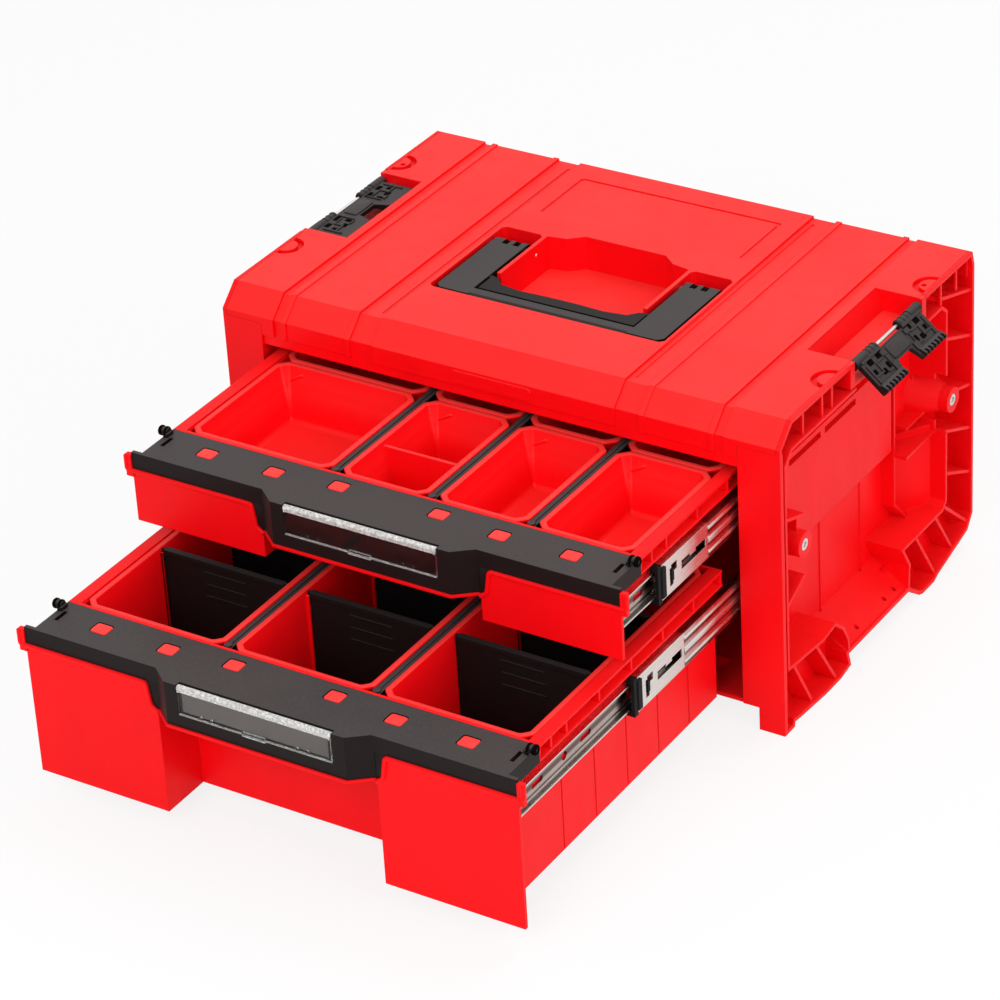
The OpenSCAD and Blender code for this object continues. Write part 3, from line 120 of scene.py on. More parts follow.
class Finish:
    """A material under way: node() adds any node, and surface() or close() ends it."""

    def __init__(self, name):
        self.material = bpy.data.materials.new(name)
        self.material.use_nodes = True
        self.tree = self.material.node_tree
        self.tree.nodes.clear()
        self.place = self.node("ShaderNodeTexCoord", out="Object")

    def node(self, kind, settings=None, values=None, out=0):
        """Adds a node of a type: settings first, then socket values or links by name or number."""
        node = self.tree.nodes.new(kind)
        for key, value in (settings or {}).items():
            if key == "stops":
                ramp = node.color_ramp
                while len(ramp.elements) < len(value):
                    ramp.elements.new(0.5)
                for element, (position, color) in zip(ramp.elements, value):
                    element.position = position
                    element.color = color
            else:
                setattr(node, key, value)
        for key, value in (values or {}).items():
            if isinstance(value, Wire):
                self.tree.links.new(value.out, node.inputs[key])
            else:
                node.inputs[key].default_value = value
        return Wire(self.tree, node.outputs[out])

    def noise(self, scale, detail=2.0, rough=0.5, stretch=None, seed=0.0):
        """Noise over the object's own metres, with grains of 1 / scale metres."""
        where = self.place
        if stretch or seed:
            shift = (seed, seed * 2, seed * 3)
            where = self.node(
                "ShaderNodeMapping",
                values={"Vector": where, "Scale": stretch or (1, 1, 1), "Location": shift},
            )
        return self.node(
            "ShaderNodeTexNoise",
            values={"Vector": where, "Scale": scale, "Detail": detail, "Roughness": rough},
            out="Fac",
        )

    def blend(self, share, low, high, kind="MIX"):
        """Colour between low and high by a share, or their product where kind is MULTIPLY."""
        settings = {"data_type": "RGBA", "blend_type": kind}
        return self.node("ShaderNodeMix", settings, {0: share, 6: low, 7: high}, out=2)

    def bump(self, height, distance, strength, normal=None):
        """Normal tilted by a height map over a depth in metres."""
        values = {"Height": height, "Distance": distance, "Strength": strength}
        if normal is not None:
            values["Normal"] = normal
        return self.node("ShaderNodeBump", values=values)

    def soft_edge(self, radius):
        """Normal rounded over the edges within a radius."""
        return self.node("ShaderNodeBevel", {"samples": 6}, {"Radius": radius})

    def shader(self, **values):
        """Principled shader; an underscore stands for a space of a socket's name."""
        named = {key.replace("_", " "): value for key, value in values.items()}
        return self.node("ShaderNodeBsdfPrincipled", values=named)

    def close(self, shader):
        """Links a shader to the output and returns the material."""
        node = self.tree.nodes.new("ShaderNodeOutputMaterial")
        self.tree.links.new(shader.out, node.inputs["Surface"])
        return self.material

    def surface(self, **values):
        """Ends the material with one principled shader."""
        return self.close(self.shader(**values))

    def facing_up(self, steep=0.3):
        """1 on level faces, falling to 0 on steep ones: the mask where the painted sheen of the lights above
        sits.
        """
        normal = self.node("ShaderNodeNewGeometry", out="Normal")
        height = self.node("ShaderNodeSeparateXYZ", values={"Vector": normal}, out="Z")
        return ((height - steep) * (1.0 / (1.0 - steep))).clamp()

    def axis(self, name):
        """Object coordinate along X, Y or Z, in metres."""
        return self.node("ShaderNodeSeparateXYZ", values={"Vector": self.place}, out=name)


def rgba(color, gain=1.0):
    """Opaque colour, brightened by a gain."""
    return (color[0] * gain, color[1] * gain, color[2] * gain, 1.0)


def seen(tree):
    """1 for rays from the camera, a mirror or clear plastic, else 0."""
    ray = tree.nodes.new("ShaderNodeLightPath")
    camera, glossy, clear_plastic = (
        Wire(tree, ray.outputs[kind]) for kind in ("Is Camera Ray", "Is Glossy Ray", "Is Transmission Ray")
    )
    return (camera + glossy + clear_plastic).clamp()


# ---------- finishes ----------
FINE_EDGE = 0.0004  # radius in metres that softens the edges of small parts


def moulded_red(name, color, rough, grain, edge, frost_and_sheen=0.03, above=-1.0):
    """Red moulding with softened edges: fine spark grain and upright flow streaks mottle the colour, and a
    paler colour on level faces paints the sheen of the lights above, in full above a height and at a third
    below it."""
    f = Finish(name)
    flow = f.noise(11.0, 3.0, 0.6)
    streak = f.noise(34.0, 2.0, 0.5, (1.0, 1.0, 0.12), 2.0)
    speck = f.noise(1400.0, 1.0, 0.5)
    tone = flow.swing(0.9) + streak.swing(0.7) + speck.swing(0.25) + 0.5
    base = f.blend(tone.clamp(), rgba(color, 0.88), rgba(color, 1.06))
    # painted sheen: level faces take a paler colour, in full above the height
    pale = (color[0], color[1] + frost_and_sheen, color[2] + frost_and_sheen * 0.8, 1.0)
    level = f.facing_up() * ((f.axis("Z") > above) * 0.65 + 0.35)
    base = f.blend((level * (flow.swing(0.8) + 0.95)).clamp(), base, pale)
    scuff = f.noise(60.0, 4.0, 0.65, (1, 1, 0.35)).swing(0.22)
    return f.surface(
        Base_Color=base, Roughness=(scuff + speck.swing(0.10) + rough).clamp(), Specular_IOR_Level=0.12,
        Normal=f.bump(speck, 0.00012, grain, f.soft_edge(edge)),
    )


def moulded_black(name, color, rough, grain, edge, frost_and_sheen=0.052, shine=0.12):
    """Dark moulding: coarser grain, cloudy tone, a warm grey painted sheen in the grain of level faces."""
    f = Finish(name)
    speck = f.noise(1100.0, 2.0, 0.6)
    cloud = f.noise(14.0, 3.0, 0.6, seed=3.0)
    base = f.blend((speck.swing(0.7) + cloud.swing(0.6) + 0.5).clamp(), rgba(color, 0.8), rgba(color, 1.3))
    # painted sheen: level faces take a warm grey in their grain
    pale = tuple(c + frost_and_sheen * warm for c, warm in zip(color, (1.0, 0.92, 0.9))) + (1.0,)
    level = f.facing_up() * (speck.swing(0.9) + cloud.swing(0.5) + 0.85)
    base = f.blend(level.clamp(), base, pale)
    return f.surface(
        Base_Color=base, Roughness=(cloud.swing(0.25) + speck.swing(0.12) + rough).clamp(),
        Specular_IOR_Level=shine, Normal=f.bump(speck, 0.00015, grain, f.soft_edge(edge)),
    )


def zinc(name, color, rough, stretch, band_shade=None):
    """Zinc plated rolled steel: streaks along the roll, cloudy plating, faint scratches. The last argument is
    a lower and an upper height, a start along Y and marks of brightness, which paint bands behind the start:
    the shade and highlights of the rolled ball grooves and lips."""
    f = Finish(name)
    streak = f.noise(900.0, 3.0, 0.6, stretch)
    cloud = f.noise(45.0, 3.0, 0.6, seed=5.0)
    base = f.blend((streak.swing(0.8) + cloud.swing(0.8) + 0.5).clamp(), rgba(color, 0.72), rgba(color, 1.12))
    if band_shade:
        low, high, start, shade_marks = band_shade
        across = (f.axis("Z") - low) * (1.0 / (high - low))
        # dark marks are warm, a painted reflection of the red mouldings: green and blue fall faster than red
        stops = [(at, (v, v * v**0.35, v * v**0.38, 1.0)) for at, v in shade_marks]
        painted_bands = f.node("ShaderNodeValToRGB", {"stops": stops}, {"Fac": across}, out="Color")
        base = f.blend(f.axis("Y") > start, base, f.blend(1.0, base, painted_bands, "MULTIPLY"))
    return f.surface(
        Base_Color=base, Metallic=1.0, Roughness=(cloud.swing(0.3) + streak.swing(0.2) + rough).clamp(),
        Normal=f.bump(streak, 0.00004, 0.35, f.soft_edge(FINE_EDGE)),
    )


def clear(name, low, high, haze_color):
    """Clear cover between two corners: frosted barrel along the top, partly frosted frame edges."""
    barrel_height, right_edge, other_edge = 4.7 * MM, 1.4 * MM, 0.9 * MM
    f = Finish(name)
    grain = f.noise(520.0, 3.0, 0.75)
    sparkle = (grain.swing(2.4) + 0.5).clamp()
    barrel = f.axis("Z") > high[2] - barrel_height
    side = (f.axis("X") > high[0] - right_edge) + (-1.0 * f.axis("X") > -low[0] - other_edge)
    foot = -1.0 * f.axis("Z") > -low[2] - other_edge
    edge = (side + foot).clamp()
    frost = (barrel * (grain * 0.5 + 0.62) + edge * (grain * 0.5 + 0.3)).clamp()
    glass = f.shader(
        Base_Color=(0.95, 0.96, 0.96, 1.0), Roughness=(grain * 0.08).clamp(), Transmission_Weight=1.0,
        IOR=1.2,
        Normal=f.bump(f.noise(90.0, 2.0, 0.5), 0.0001, 0.1, f.soft_edge(FINE_EDGE)),
    )
    frost_and_sheen = f.shader(
        Base_Color=f.blend(sparkle, rgba(haze_color, 0.5), rgba(haze_color, 1.3)), Roughness=0.34,
        Normal=f.bump(grain, 0.0002, 0.4, f.soft_edge(FINE_EDGE)),
    )
    return f.close(f.node("ShaderNodeMixShader", values={0: frost, 1: glass, 2: frost_and_sheen}))


def paper(name, color):
    """Card behind a cover: faint fibres."""
    f = Finish(name)
    fibre = f.noise(1600.0, 3.0, 0.7, (1.0, 1.0, 3.0))
    return f.surface(
        Base_Color=f.blend(fibre, rgba(color, 0.88), rgba(color, 1.1)), Roughness=(fibre * 0.2 + 0.6).clamp(),
        Normal=f.bump(fibre, 0.00005, 0.3),
    )


# ---------- surfaces, in millimetres ----------
NEAR_HALF = 0.45  # largest share of a side that the rounding of one corner takes


def circle(around):
    """Angles of a full turn, without its end."""
    return np.linspace(0, 2 * math.pi, around, endpoint=False)


def superellipse(around, power):
    """Points a, b of |a|^p + |b|^p = 1: the cosine and sine of a full turn, each to the power 2 / p with its
    sign."""
    turn = circle(around)
    return [np.sign(wave) * np.abs(wave) ** (2 / power) for wave in (np.cos(turn), np.sin(turn))]


def rounded(a, corner, b, steps):
    """Parabola from A to B that rounds the corner V between them: (1 - s)^2 A + 2 s (1 - s) V + s^2 B."""
    s = np.linspace(0, 1, steps)[:, None]
    return (1 - s) ** 2 * a[..., None, :] + 2 * s * (1 - s) * corner[..., None, :] + s**2 * b[..., None, :]


def length_of(vectors):
    """Length of each vector, with its axis kept."""
    return np.linalg.norm(vectors, axis=-1, keepdims=True)


def skin(loops):
    """Closed shell over a stack of loops, an array of loops by points by 3: quads join each point with the
    next one of its loop and of the loop after it, and one flat face closes each end."""
    count, around = loops.shape[:2]
    row = np.arange(count - 1)[:, None] * around
    here = np.arange(around)[None, :]
    ahead = (here + 1) % around
    quads = np.stack([row + here, row + ahead, row + around + ahead, row + around + here], -1).reshape(-1, 4)
    last = (count - 1) * around + np.arange(around)
    return loops.reshape(-1, 3), quads.tolist() + [np.arange(around)[::-1].tolist(), last.tolist()]


def pairs(parts):
    """Shell of each stack of loops, and of its mirror image past the middle plane of the box."""
    return [skin(loops * side) for loops in parts for side in ((1.0, 1.0, 1.0), (-1.0, 1.0, 1.0))]


def piece(name, shells, material, body, slot, *replaced):
    """One object from several shells, riding on a body."""
    sharp = math.radians(38)
    points, faces, start = [], [], 0
    for shell_points, shell_faces in shells:
        points.append(shell_points)
        faces += [[v + start for v in face] for face in shell_faces]
        start += len(shell_points)
    mesh = bpy.data.meshes.new(name)
    mesh.from_pydata(np.concatenate(points) * MM, [], faces)
    shell = bmesh.new()
    shell.from_mesh(mesh)
    bmesh.ops.recalc_face_normals(shell, faces=shell.faces)
    shell.to_mesh(mesh)
    shell.free()
    mesh.polygons.foreach_set("use_smooth", np.ones(len(mesh.polygons), bool))
    mesh.set_sharp_from_angle(angle=sharp)
    mesh.materials.append(material)
    made = bpy.data.objects.new(name, mesh)
    bpy.context.scene.collection.objects.link(made)
    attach(made, body)
    if replaced:
        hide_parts(*replaced)
    return made


def cut_corner_loops(low, high, section, corner, soft=1.6, steps=5):
    """Plan rectangle low..high with corners cut at 45 degrees, one loop per (inset, height) of the section.
    An inset d shortens the cut by (2 - root 2) d, but not under the least cut. Each of the 8 plan corners is
    rounded between points soft away from it, or nearly half a short side away."""
    least_cut = 0.9
    inset, height = np.asarray(section, float).T
    cut = np.maximum(corner - inset * (2 - math.sqrt(2)), least_cut)
    x0, y0 = low[0] + inset, low[1] + inset
    x1, y1 = high[0] - inset, high[1] - inset
    plan = np.stack([
        np.stack([x0 + cut, y0], -1), np.stack([x1 - cut, y0], -1), np.stack([x1, y0 + cut], -1),
        np.stack([x1, y1 - cut], -1), np.stack([x1 - cut, y1], -1), np.stack([x0 + cut, y1], -1),
        np.stack([x0, y1 - cut], -1), np.stack([x0, y0 + cut], -1),
    ], 1)
    before, after = np.roll(plan, 1, 1) - plan, np.roll(plan, -1, 1) - plan
    a = plan + before / length_of(before) * np.minimum(soft, NEAR_HALF * length_of(before))
    b = plan + after / length_of(after) * np.minimum(soft, NEAR_HALF * length_of(after))
    flat = rounded(a, plan, b, steps).reshape(len(inset), -1, 2)
    tall = np.broadcast_to(height[:, None, None], flat.shape[:2] + (1,))
    return np.concatenate([flat, tall], -1)


def bar_loops(start, stop, half, up, soft=0.5, steps=4):
    """Bar from start to stop: the section is a rectangle of half sizes half along the side and up directions
    with quarter circles at its corners; the two end loops draw in by soft."""
    start, stop = np.asarray(start, float), np.asarray(stop, float)
    along = (stop - start) / np.linalg.norm(stop - start)
    up = np.asarray(up, float)
    side = np.cross(up, along)
    turn = np.linspace(0, math.pi / 2, steps)
    corner = np.stack([np.cos(turn), np.sin(turn)], -1) * soft
    ring = []
    for k, (sx, sy) in enumerate(((1, 1), (-1, 1), (-1, -1), (1, -1))):
        c, s = math.cos(k * math.pi / 2), math.sin(k * math.pi / 2)
        arc = corner @ np.array([[c, s], [-s, c]])
        ring.append(arc + [sx * (half[0] - soft), sy * (half[1] - soft)])
    drawn_in = (half[0] - soft) / half[0]
    size = np.array([drawn_in, 1, 1, drawn_in])[:, None, None]
    at = np.stack([start, start + along * soft, stop - along * soft, stop])[:, None]
    flat = np.concatenate(ring)[None] * size
    return at + flat[..., :1] * side + flat[..., 1:] * up


def soft_path(points, soft, steps=5):
    """Path whose inner corners are rounded between points soft away from each of them."""
    points = np.asarray(points, float)
    ahead = np.diff(points, axis=0)
    length = length_of(ahead)
    unit = ahead / length
    reach = np.minimum(soft, NEAR_HALF * np.minimum(length[:-1], length[1:]))
    inner = points[1:-1]
    bends = rounded(inner - unit[:-1] * reach, inner, inner + unit[1:] * reach, steps)
    return np.concatenate([points[:1], bends.reshape(-1, 3), points[-1:]])


def strip_loops(path, out, half, power=3.0, around=20):
    """Strip carried along a path in a plane: the section is a superellipse |u / a|^p + |v / b|^p = 1 with u
    across the path in that plane and v along out, widened by 1 / cos of half the turn at each corner."""
    path, out = np.asarray(path, float), np.asarray(out, float)
    unit = np.diff(path, axis=0)
    unit /= length_of(unit)
    before, after = np.concatenate([unit[:1], unit]), np.concatenate([unit, unit[-1:]])
    along = before + after
    along /= length_of(along)
    widen = 1.0 / np.sum(along * after, axis=1, keepdims=True)
    a, b = superellipse(around, power)
    u, v = (a * half[0])[None, :, None], (b * half[1])[None, :, None]
    across = (np.cross(along, out) * widen)[:, None]
    return path[:, None] + u * across + v * out


def pad_loops(centre, half, up, across, power=4.0, around=28, steps=4):
    """Rounded pad: superellipse plan of half sizes along across and along up x across; the last rings draw in
    on a quarter circle towards the top, of at most 0.6 of the lesser half size."""
    up, across = np.asarray(up, float), np.asarray(across, float)
    third = np.cross(up, across)
    a, b = superellipse(around, power)
    soft = min(half[2], 0.6 * min(half[0], half[1]))
    rise = np.linspace(0, math.pi / 2, steps)
    inset = np.concatenate([[0.0], soft * (1 - np.cos(rise))])[:, None]
    tall = np.concatenate([[-half[2]], half[2] - soft + soft * np.sin(rise)])[:, None]
    plan = (a * (half[0] - inset))[..., None] * across + (b * (half[1] - inset))[..., None] * third
    return np.asarray(centre, float) + plan + tall[..., None] * up


def dome_loops(centre, radius, out, rise, steps=7, around=28):
    """Lens on a wall: rings of share r, from 1 to nearly 0, of the radius, raised by rise (1 - r^2) along
    out."""
    r = np.linspace(1.0, POLE, steps)[:, None]
    turn = circle(around)[None, :]
    out = np.asarray(out, float)
    side = np.cross(out, UP)
    flat = (r * np.cos(turn) * radius)[..., None] * side + (r * np.sin(turn) * radius)[..., None] * UP
    return np.asarray(centre, float) + flat + (rise * (1 - r**2))[..., None] * out


def turned_loops(profile, axis, centre=(0, 0, 0), around=28):
    """Body turned about axis 0, X, or 1, Y: each (radius, distance) of the profile is carried round a
    circle."""
    radius, along = np.array(profile).T[..., None]
    radius = np.maximum(radius, POLE)
    turn = circle(around)
    loops = np.empty((len(radius), around, 3))
    loops[..., axis] = along
    loops[..., 1 - axis] = radius * np.cos(turn)
    loops[..., 2] = radius * np.sin(turn)
    return np.asarray(centre, float) + loops


# ---------- sizes and colours a user may change ----------
class BoxLooks(bpy.types.PropertyGroup):
    """Colours and finish values of the tool box."""

    red: bpy.props.FloatVectorProperty(
        name="Red", description="Colour of the red mouldings", size=3, subtype="COLOR",
        default=(0.90, 0.002, 0.005)
    )
    bin_red: bpy.props.FloatVectorProperty(
        name="Bin red", description="Colour of the loose bins", size=3, subtype="COLOR",
        default=(0.88, 0.003, 0.006)
    )
    black: bpy.props.FloatVectorProperty(
        name="Dark grey", description="Colour of the dark mouldings", size=3, subtype="COLOR",
        default=(0.0092, 0.0055, 0.0054)
    )
    inner_black: bpy.props.FloatVectorProperty(
        name="Inner black", description="Colour of dividers and bumpers", size=3, subtype="COLOR",
        default=(0.005, 0.005, 0.005)
    )
    steel: bpy.props.FloatVectorProperty(
        name="Steel", description="Colour of the zinc plated parts", size=3, subtype="COLOR",
        default=(0.74, 0.72, 0.68)
    )
    red_rough: bpy.props.FloatProperty(
        name="Red roughness", description="Mean roughness of the red mouldings", default=0.44,
        min=0.1, max=1.0
    )
    corner: bpy.props.FloatProperty(
        name="Bin corner", description="Cut of the corners of the bins", default=0.0075, unit="LENGTH"
    )
    rim: bpy.props.FloatProperty(
        name="Bin rim", description="Width of the bin rims", default=0.003, unit="LENGTH"
    )
    edge: bpy.props.FloatProperty(
        name="Edge radius", description="Radius that softens the moulded edges", default=0.0008, unit="LENGTH"
    )


class StageLooks(bpy.types.PropertyGroup):
    """Studio values."""

    key: bpy.props.FloatProperty(
        name="Key light", description="Power of the main soft light", default=40.0, unit="POWER"
    )
    fill: bpy.props.FloatProperty(
        name="Fill light", description="Power of the side and top lights", default=22.0, unit="POWER"
    )
    sky: bpy.props.FloatProperty(name="Sky", description="Strength of the even white surround", default=0.58)
    floor: bpy.props.FloatProperty(
        name="Floor", description="Share of light that the floor returns", default=0.86
    )


# ---------- helpers of the operators ----------
def dress(names, material):
    """Gives CAD nodes a material in every slot."""
    for name in names:
        slots = NODES[name].material_slots
        if not slots:
            NODES[name].data.materials.append(material)
        for slot in slots:
            slot.material = material


def nodes_of(slot):
    """Names of the CAD nodes that take their finish from a slot of the record."""
    return [n for n in NODES if SLOT_OF.get(n) == slot]


def finish_of(node):
    """Material that a CAD node was given."""
    return NODES[node].data.materials[0]


def corners(node):
    """Lowest and highest corner of a CAD node at rest, in millimetres."""
    return [np.array(corner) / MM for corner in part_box(node)]


def level_with(back):
    """Right and up directions of something that looks along -back and stands level."""
    right = np.cross(UP, back)
    right /= np.linalg.norm(right)
    return right, np.cross(back, right)


def matrix_of(x, y, z, place):
    """World matrix of an object from its axes and its place."""
    return Matrix([[x[i], y[i], z[i], place[i]] for i in range(3)] + [[0, 0, 0, 1]])


# ---------- operators ----------
class TOOLBOX_OT_camera(bpy.types.Operator):
    """Camera at the photograph's place: turned round the box, tipped down and slightly rolled"""

    bl_idname = "toolbox.camera"
    bl_label = "Camera"

    # solved from the photograph: angles in degrees, place in metres, focal length and width in pixels
    AZIMUTH, ELEVATION, ROLL = 33.688, 30.726, -3.464
    PLACE = (1.37367, -2.20217, 1.59932)
    FOCAL, PHOTO_WIDTH = 4129.2, 1000.0
    SENSOR = 36.0  # millimetres
    SIGHT = 50.0  # metres

    def execute(self, context):
        azimuth, elevation, roll = (math.radians(a) for a in (self.AZIMUTH, self.ELEVATION, self.ROLL))
        back = np.array([
            math.sin(azimuth) * math.cos(elevation), -math.cos(azimuth) * math.cos(elevation),
            math.sin(elevation),
        ])
        right, up = level_with(back)
        x = right * math.cos(roll) + up * math.sin(roll)
        y = up * math.cos(roll) - right * math.sin(roll)
        data = bpy.data.cameras.new("camera")
        camera = bpy.data.objects.new("camera", data)
        context.scene.collection.objects.link(camera)
        camera.matrix_world = matrix_of(x, y, back, self.PLACE)
        data.sensor_width = self.SENSOR
        data.lens = self.FOCAL * self.SENSOR / self.PHOTO_WIDTH
        data.clip_end = self.SIGHT
        context.scene.camera = camera
        return {"FINISHED"}


class TOOLBOX_OT_stage(bpy.types.Operator):
    """Plain pale floor, white surround and soft studio lights"""

    bl_idname = "toolbox.stage"
    bl_label = "Stage"

    FLOOR_HALF = 4.0
    FLOOR_WHITE = 0.84  # share of plain white in what the camera sees of the floor
    AIM = (0, -0.1, 0.12)
    # name, place, diameter and the stage value that holds the power
    LAMPS = (
        ("key light", (0.35, -2.65, 1.85), 1.8, "key"),
        ("fill light", (2.4, -0.6, 1.2), 1.6, "fill"),
        ("top light", (0.3, 0.9, 2.6), 1.6, "fill"),
    )

    def execute(self, context):
        looks = context.scene.stage_looks
        self.floor(context, looks)
        self.surround(context, looks)
        for name, place, size, power in self.LAMPS:
            self.lamp(context, name, place, size, getattr(looks, power))
        context.scene.view_settings.view_transform = "Standard"
        return {"FINISHED"}

    def floor(self, context, looks):
        """Square floor that keeps the shadow of the box and else looks nearly white."""
        half = self.FLOOR_HALF
        mesh = bpy.data.meshes.new("floor")
        mesh.from_pydata(
            [(-half, -half, 0), (half, -half, 0), (half, half, 0), (-half, half, 0)], [], [(0, 1, 2, 3)]
        )
        floor = bpy.data.objects.new("floor", mesh)
        context.scene.collection.objects.link(floor)
        f = Finish("pale floor")
        diffuse = f.node("ShaderNodeBsdfDiffuse", values={"Color": rgba((looks.floor,) * 3)})
        white = f.node("ShaderNodeEmission", values={"Color": WHITE, "Strength": 1.0})
        share = seen(f.tree) * self.FLOOR_WHITE
        mesh.materials.append(f.close(f.node("ShaderNodeMixShader", values={0: share, 1: diffuse, 2: white})))

    @staticmethod
    def surround(context, looks):
        """White world that shines at the sky's strength and shows as plain white."""
        world = bpy.data.worlds.new("surround")
        context.scene.world = world
        world.use_nodes = True
        tree = world.node_tree
        tree.nodes.clear()
        strength = seen(tree) * (1.0 - looks.sky) + looks.sky
        back = tree.nodes.new("ShaderNodeBackground")
        back.inputs["Color"].default_value = WHITE
        tree.links.new(strength.out, back.inputs["Strength"])
        out = tree.nodes.new("ShaderNodeOutputWorld")
        tree.links.new(back.outputs[0], out.inputs["Surface"])

    def lamp(self, context, name, place, size, power):
        """Round soft light at a place, turned to the aim."""
        data = bpy.data.lights.new(name, "AREA")
        data.shape = "DISK"
        data.size = size
        data.energy = power
        lamp = bpy.data.objects.new(name, data)
        context.scene.collection.objects.link(lamp)
        back = np.array(place) - self.AIM
        back /= np.linalg.norm(back)
        lamp.matrix_world = matrix_of(*level_with(back), back, place)


class TOOLBOX_OT_red_mouldings(bpy.types.Operator):
    """Textured bright red on cabinet, side panels and trays"""

    bl_idname = "toolbox.red_mouldings"
    bl_label = "Red mouldings"

    def execute(self, context):
        looks = context.scene.box_looks
        grain = 0.35
        # the last value sets the painted sheen on level faces, strongest on the top cover
        red = moulded_red("textured red", looks.red, looks.red_rough, grain, looks.edge, frost_and_sheen=0.008)
        cover = moulded_red("cover red", looks.red, looks.red_rough, grain, looks.edge, frost_and_sheen=0.03)
        dress(nodes_of("red_plastic") + nodes_of("red_bin_plastic"), red)
        dress(["top_cover"], cover)
        return {"FINISHED"}


class TOOLBOX_OT_dark_mouldings(bpy.types.Operator):
    """Dark grained caps, strips, dividers, bumpers, handle and latches"""

    bl_idname = "toolbox.dark_mouldings"
    bl_label = "Dark mouldings"

    def execute(self, context):
        looks = context.scene.box_looks
        inner = [n for n in nodes_of("black_plastic") if n.startswith("divider")]
        outer = [n for n in nodes_of("black_plastic") if n not in inner]
        bumpers = [n for n in NODES if n.startswith("bumper")]
        dull = tuple(0.6 * c for c in looks.black)
        # each dark finish takes a warm grey painted sheen on its level faces, set by its last value
        soft = moulded_black("soft black", dull, 0.62, 0.7, looks.edge, frost_and_sheen=0.018)
        dress(outer, moulded_black("grained black", looks.black, 0.46, 0.5, looks.edge))
        dress(inner, moulded_black("smooth black", looks.inner_black, 0.5, 0.2, looks.edge, frost_and_sheen=0.016))
        dress(nodes_of("black_soft_plastic"), soft)
        dress(bumpers, moulded_black("bumper black", looks.inner_black, 0.6, 0.3, looks.edge, frost_and_sheen=0.004))
        return {"FINISHED"}


class TOOLBOX_OT_steel_parts(bpy.types.Operator):
    """Zinc plated slides, screws and pins"""

    bl_idname = "toolbox.steel_parts"
    bl_label = "Steel parts"

    ROLL = (1.0, 0.02, 1.0)  # stretches the streaks along Y, the way the steel is rolled
    PLAIN_END = 61.5  # front end of a middle member, with its release lever, where no bands show
    # share of the height and brightness of the painted bands of groove shade and lip highlight, from the
    # lower edge up
    BAND_SHADES = {
        "drw": (
            (0.0, 1.0), (0.09, 0.9), (0.13, 0.25), (0.2, 0.3), (0.26, 0.7), (0.42, 0.6), (0.47, 0.22),
            (0.62, 0.16), (0.68, 0.5), (0.8, 0.55), (0.84, 0.1), (0.93, 0.12), (0.96, 1.0), (1.0, 1.0),
        ),
        "mid": (
            (0.0, 0.9), (0.08, 0.85), (0.12, 0.2), (0.2, 0.3), (0.24, 0.9), (0.34, 0.8), (0.4, 0.22),
            (0.48, 0.3), (0.53, 0.95), (0.62, 0.8), (0.68, 0.2), (0.76, 0.28), (0.8, 0.95), (0.88, 0.9),
            (0.92, 0.2), (1.0, 0.9),
        ),
    }

    def execute(self, context):
        steel = context.scene.box_looks.steel
        dress(nodes_of("zinc_steel"), zinc("zinc plated steel", steel, 0.30, self.ROLL))
        for row in ROWS:
            for kind, shade_marks in self.BAND_SHADES.items():
                names = ["%s_rail_%s_%s" % (kind, row, hand) for hand, _ in HANDS]
                low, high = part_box(names[0])
                start = low[1] + (self.PLAIN_END * MM if kind == "mid" else 0)
                band_shade = (low[2], high[2], start, shade_marks)
                dress(names, zinc("%s %s steel" % (row, kind), steel, 0.26, self.ROLL, band_shade))
        return {"FINISHED"}


class TOOLBOX_OT_label_covers(bpy.types.Operator):
    """Clear hinged covers, and a plain card behind the lower one"""

    bl_idname = "toolbox.label_covers"
    bl_label = "Label covers"

    FROST = (0.66, 0.65, 0.63)
    CARD = (0.112, 0.093, 0.085)

    def execute(self, context):
        for row in ROWS:
            low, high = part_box(row + "_label")
            dress([row + "_label"], clear(row + " clear cover", low, high, self.FROST))
        low, high = corners("lower_label")
        half_width, half_thick, margin = 57.5, 0.07, 3.6
        y, z = high[1] - 2.58, (low[2] + high[2]) / 2 - 0.9
        half_height = (high[2] - low[2]) / 2 - margin
        card = bar_loops((-half_width, y, z), (half_width, y, z), (half_thick, half_height), UP, 0.03, 2)
        piece("label_card", [skin(card)], paper("grey card", self.CARD), "lower_drawer", "clear_plastic")
        return {"FINISHED"}


